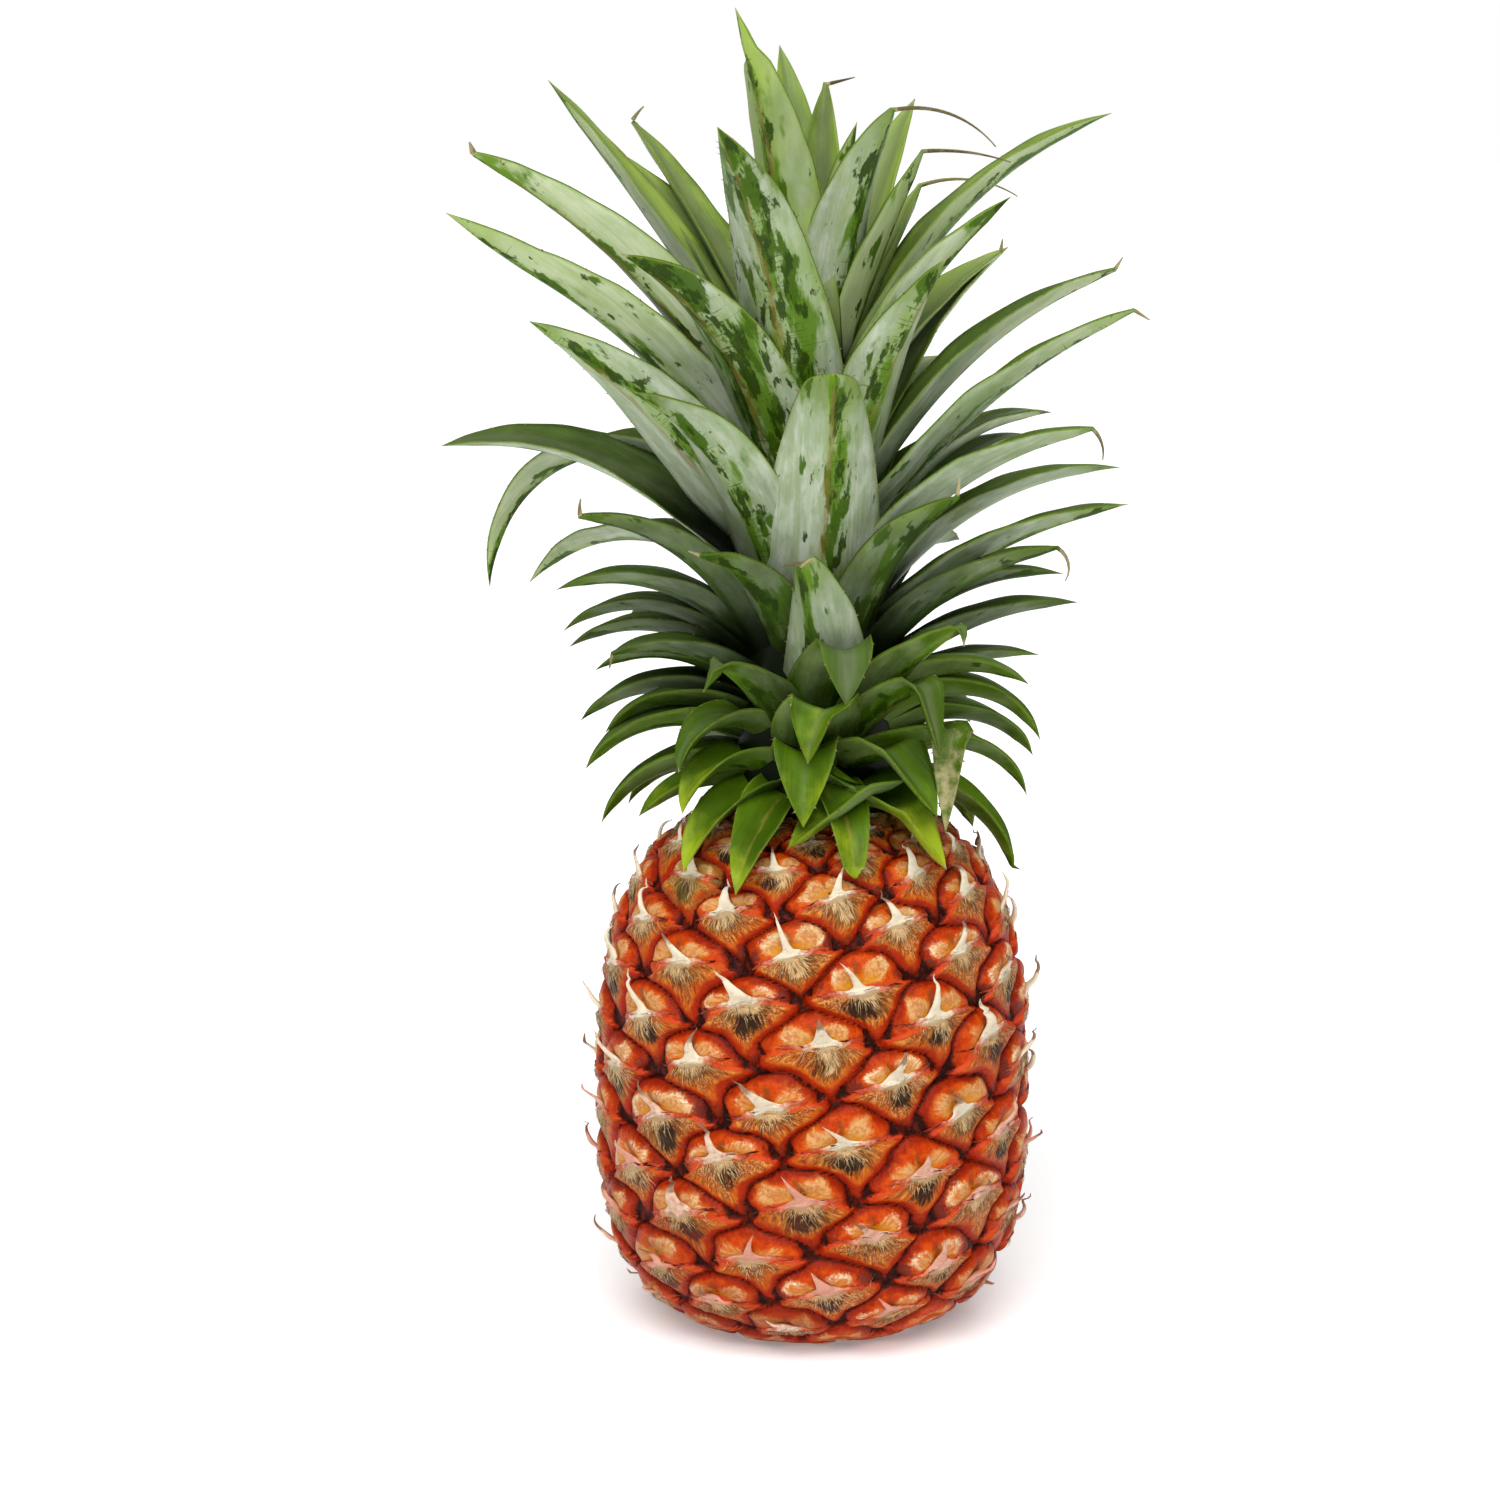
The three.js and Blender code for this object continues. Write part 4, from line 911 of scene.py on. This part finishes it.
def add_teeth(teeth, row, edges, number):
    """Hooked teeth along both edges of a leaf, every 3 to 7 mm: four-sided points that lean towards the tip."""
    left, right, side, along, half = edges
    draw = np.random.default_rng(900 + number)
    length = np.concatenate([[0], np.cumsum(np.linalg.norm(np.diff(left, axis=0), axis=1))])
    turn = np.linspace(0, 2 * math.pi, 4, endpoint=False)
    if row[1] > TOOTHED_BELOW_Z:
        return
    for edge, way in ((left, -1), (right, 1)):
        at = length[-1] * 0.25
        while at < length[-1] * 0.93:
            at += draw.uniform(2.5, 7.0)
            foot = np.array([np.interp(at, length, edge[:, k]) for k in range(3)])
            k = min(int(np.searchsorted(length, at)), len(half) - 1)
            if half[k] < 1.5:
                break
            out = side[k] * way
            size = draw.uniform(0.5, 1.2)
            ring = foot - out * 0.3 + 0.4 * size * (np.cos(turn)[:, None] * along[k]
                                                    + 0.5 * np.sin(turn)[:, None] * np.cross(side[k], along[k]))
            tip = foot + size * (out + 0.9 * along[k])
            rings = np.stack([ring, ring * 0.4 + (tip - (tip - foot) * 0.35) * 0.6])
            teeth.add(closed_skin(rings, ring.mean(0), tip), along=np.r_[np.repeat([0.2, 0.6], 4), 0.2, 0.9])


def add_stem():
    """The stem that the leaves grow from: a cone of 28 sides, closed at both ends."""
    z = np.linspace(STEM_FOOT_Z - 1.5, STEM_TOP_Z, 24)[:, None]
    turn = np.linspace(0, 2 * math.pi, 28, endpoint=False)[None]
    r = stem_radius(z) * (1 + 0.04 * np.sin(5 * turn + z))
    rings = np.stack([r * np.sin(turn), -r * np.cos(turn), z + 0 * turn], -1)
    bundle = Bundle()
    skin = closed_skin(rings, np.array([0, 0, z[0, 0]]), np.array([0, 0, z[-1, 0] + 4]))
    zero = np.zeros(len(skin[0]))
    # painted shade: the whole stem takes the leaves' darkest shade colour, so that the gaps between leaves look deep
    bundle.add(skin, across_mm=zero, along_mm=skin[0][:, 2], shade=zero + 1.7)
    bundle.build("crown_stem", waxy_leaf)


EYES = [eye for eye in range(-60, 200)
        if NUMBER[0] < eye < NUMBER[-1] and np.interp(eye, NUMBER, OUT_R) > 20
        and np.interp(eye, NUMBER, OUT_Z) > SPINES_ABOVE_Z]
FIBRES_PER_EYE = 44

add_rind(rind_skin)
add_spines()
add_fibres()
add_leaves()
add_stem()
for piece in bpy.context.scene.objects:
    if piece.name.startswith("rind_"):
        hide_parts("fruit")
    if piece.name.endswith("_leaves") or piece.name == "crown_stem":
        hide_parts("crown")
stalk = frame["nodes"]["stalk"]
stalk.data.materials.clear()
stalk.data.materials.append(cut_wood)


# ---- Floor, light and camera ----

AMBIENT = 0.24  # light from all round; where it is looked at, the room is white

def stage_plane(name, size, z, material):
    """A level square of the stage, size metres from its middle to its edges."""
    mesh = bpy.data.meshes.new(name)
    mesh.from_pydata([(-size, -size, z), (size, -size, z), (size, size, z), (-size, size, z)], [], [(0, 1, 2, 3)])
    mesh.materials.append(material)
    plane = bpy.data.objects.new(name, mesh)
    bpy.context.scene.collection.objects.link(plane)


def soft_light(name, kind, place, target, size, power):
    """A light at place (metres) that faces target. size is a square lamp's side in metres, or how wide a distant
    one looks, in degrees."""
    light = bpy.data.lights.new(name, kind)
    light.energy = power
    if kind == "SUN":
        light.angle = math.radians(size)
    else:
        light.size = size
    lamp = bpy.data.objects.new(name, light)
    bpy.context.scene.collection.objects.link(lamp)
    lamp.location = place
    way = np.subtract(target, place)
    tilt = math.atan2(math.hypot(way[0], way[1]), -way[2])
    lamp.rotation_euler = (tilt, 0, math.atan2(way[1], way[0]) - math.pi / 2)


# The floor is a light table: a sheet that glows a little from below, so that shadows on it stay faint.
floor_paint = layered_material("white_light_table", "#FFFFFF", [], Roughness=1.0, Specular_IOR_Level=0.0,
                               Emission_Color="#FFFFFF", Emission_Strength=0.22)
stage_plane("floor", 40.0, -0.0003, floor_paint)
soft_light("key", "SUN", (-0.1, -1.2, 1.5), (0, 0, 0.18), 50, 3.3)
soft_light("rim", "AREA", (0.3, 1.2, 1.1), (0, 0, 0.25), 0.8, 4)
world = bpy.data.worlds.new("plain_studio")
world.use_nodes = True
tree = world.node_tree
tree.nodes.clear()
seen = add_node(tree, "ShaderNodeLightPath")
strength = add_node(tree, "ShaderNodeMapRange", {0: seen, 3: AMBIENT, 4: 1.0})
back = add_node(tree, "ShaderNodeBackground", {"Color": "#FFFFFF", "Strength": strength})
add_node(tree, "ShaderNodeOutputWorld", {"Surface": back})
bpy.context.scene.world = world
bpy.context.scene.view_settings.view_transform = "Standard"

CAMERA_PLACE = (-0.0175, -1.0, 0.33)
CAMERA_PITCH = 9.57  # degrees down
CAMERA_LENS = 87.6  # mm, on a 36 mm sensor
camera_data = bpy.data.cameras.new("camera")
camera_data.lens, camera_data.sensor_width = CAMERA_LENS, 36.0
camera = bpy.data.objects.new("camera", camera_data)
bpy.context.scene.collection.objects.link(camera)
camera.location = CAMERA_PLACE
camera.rotation_euler = (math.radians(90 - CAMERA_PITCH), 0, 0)
bpy.context.scene.camera = camera
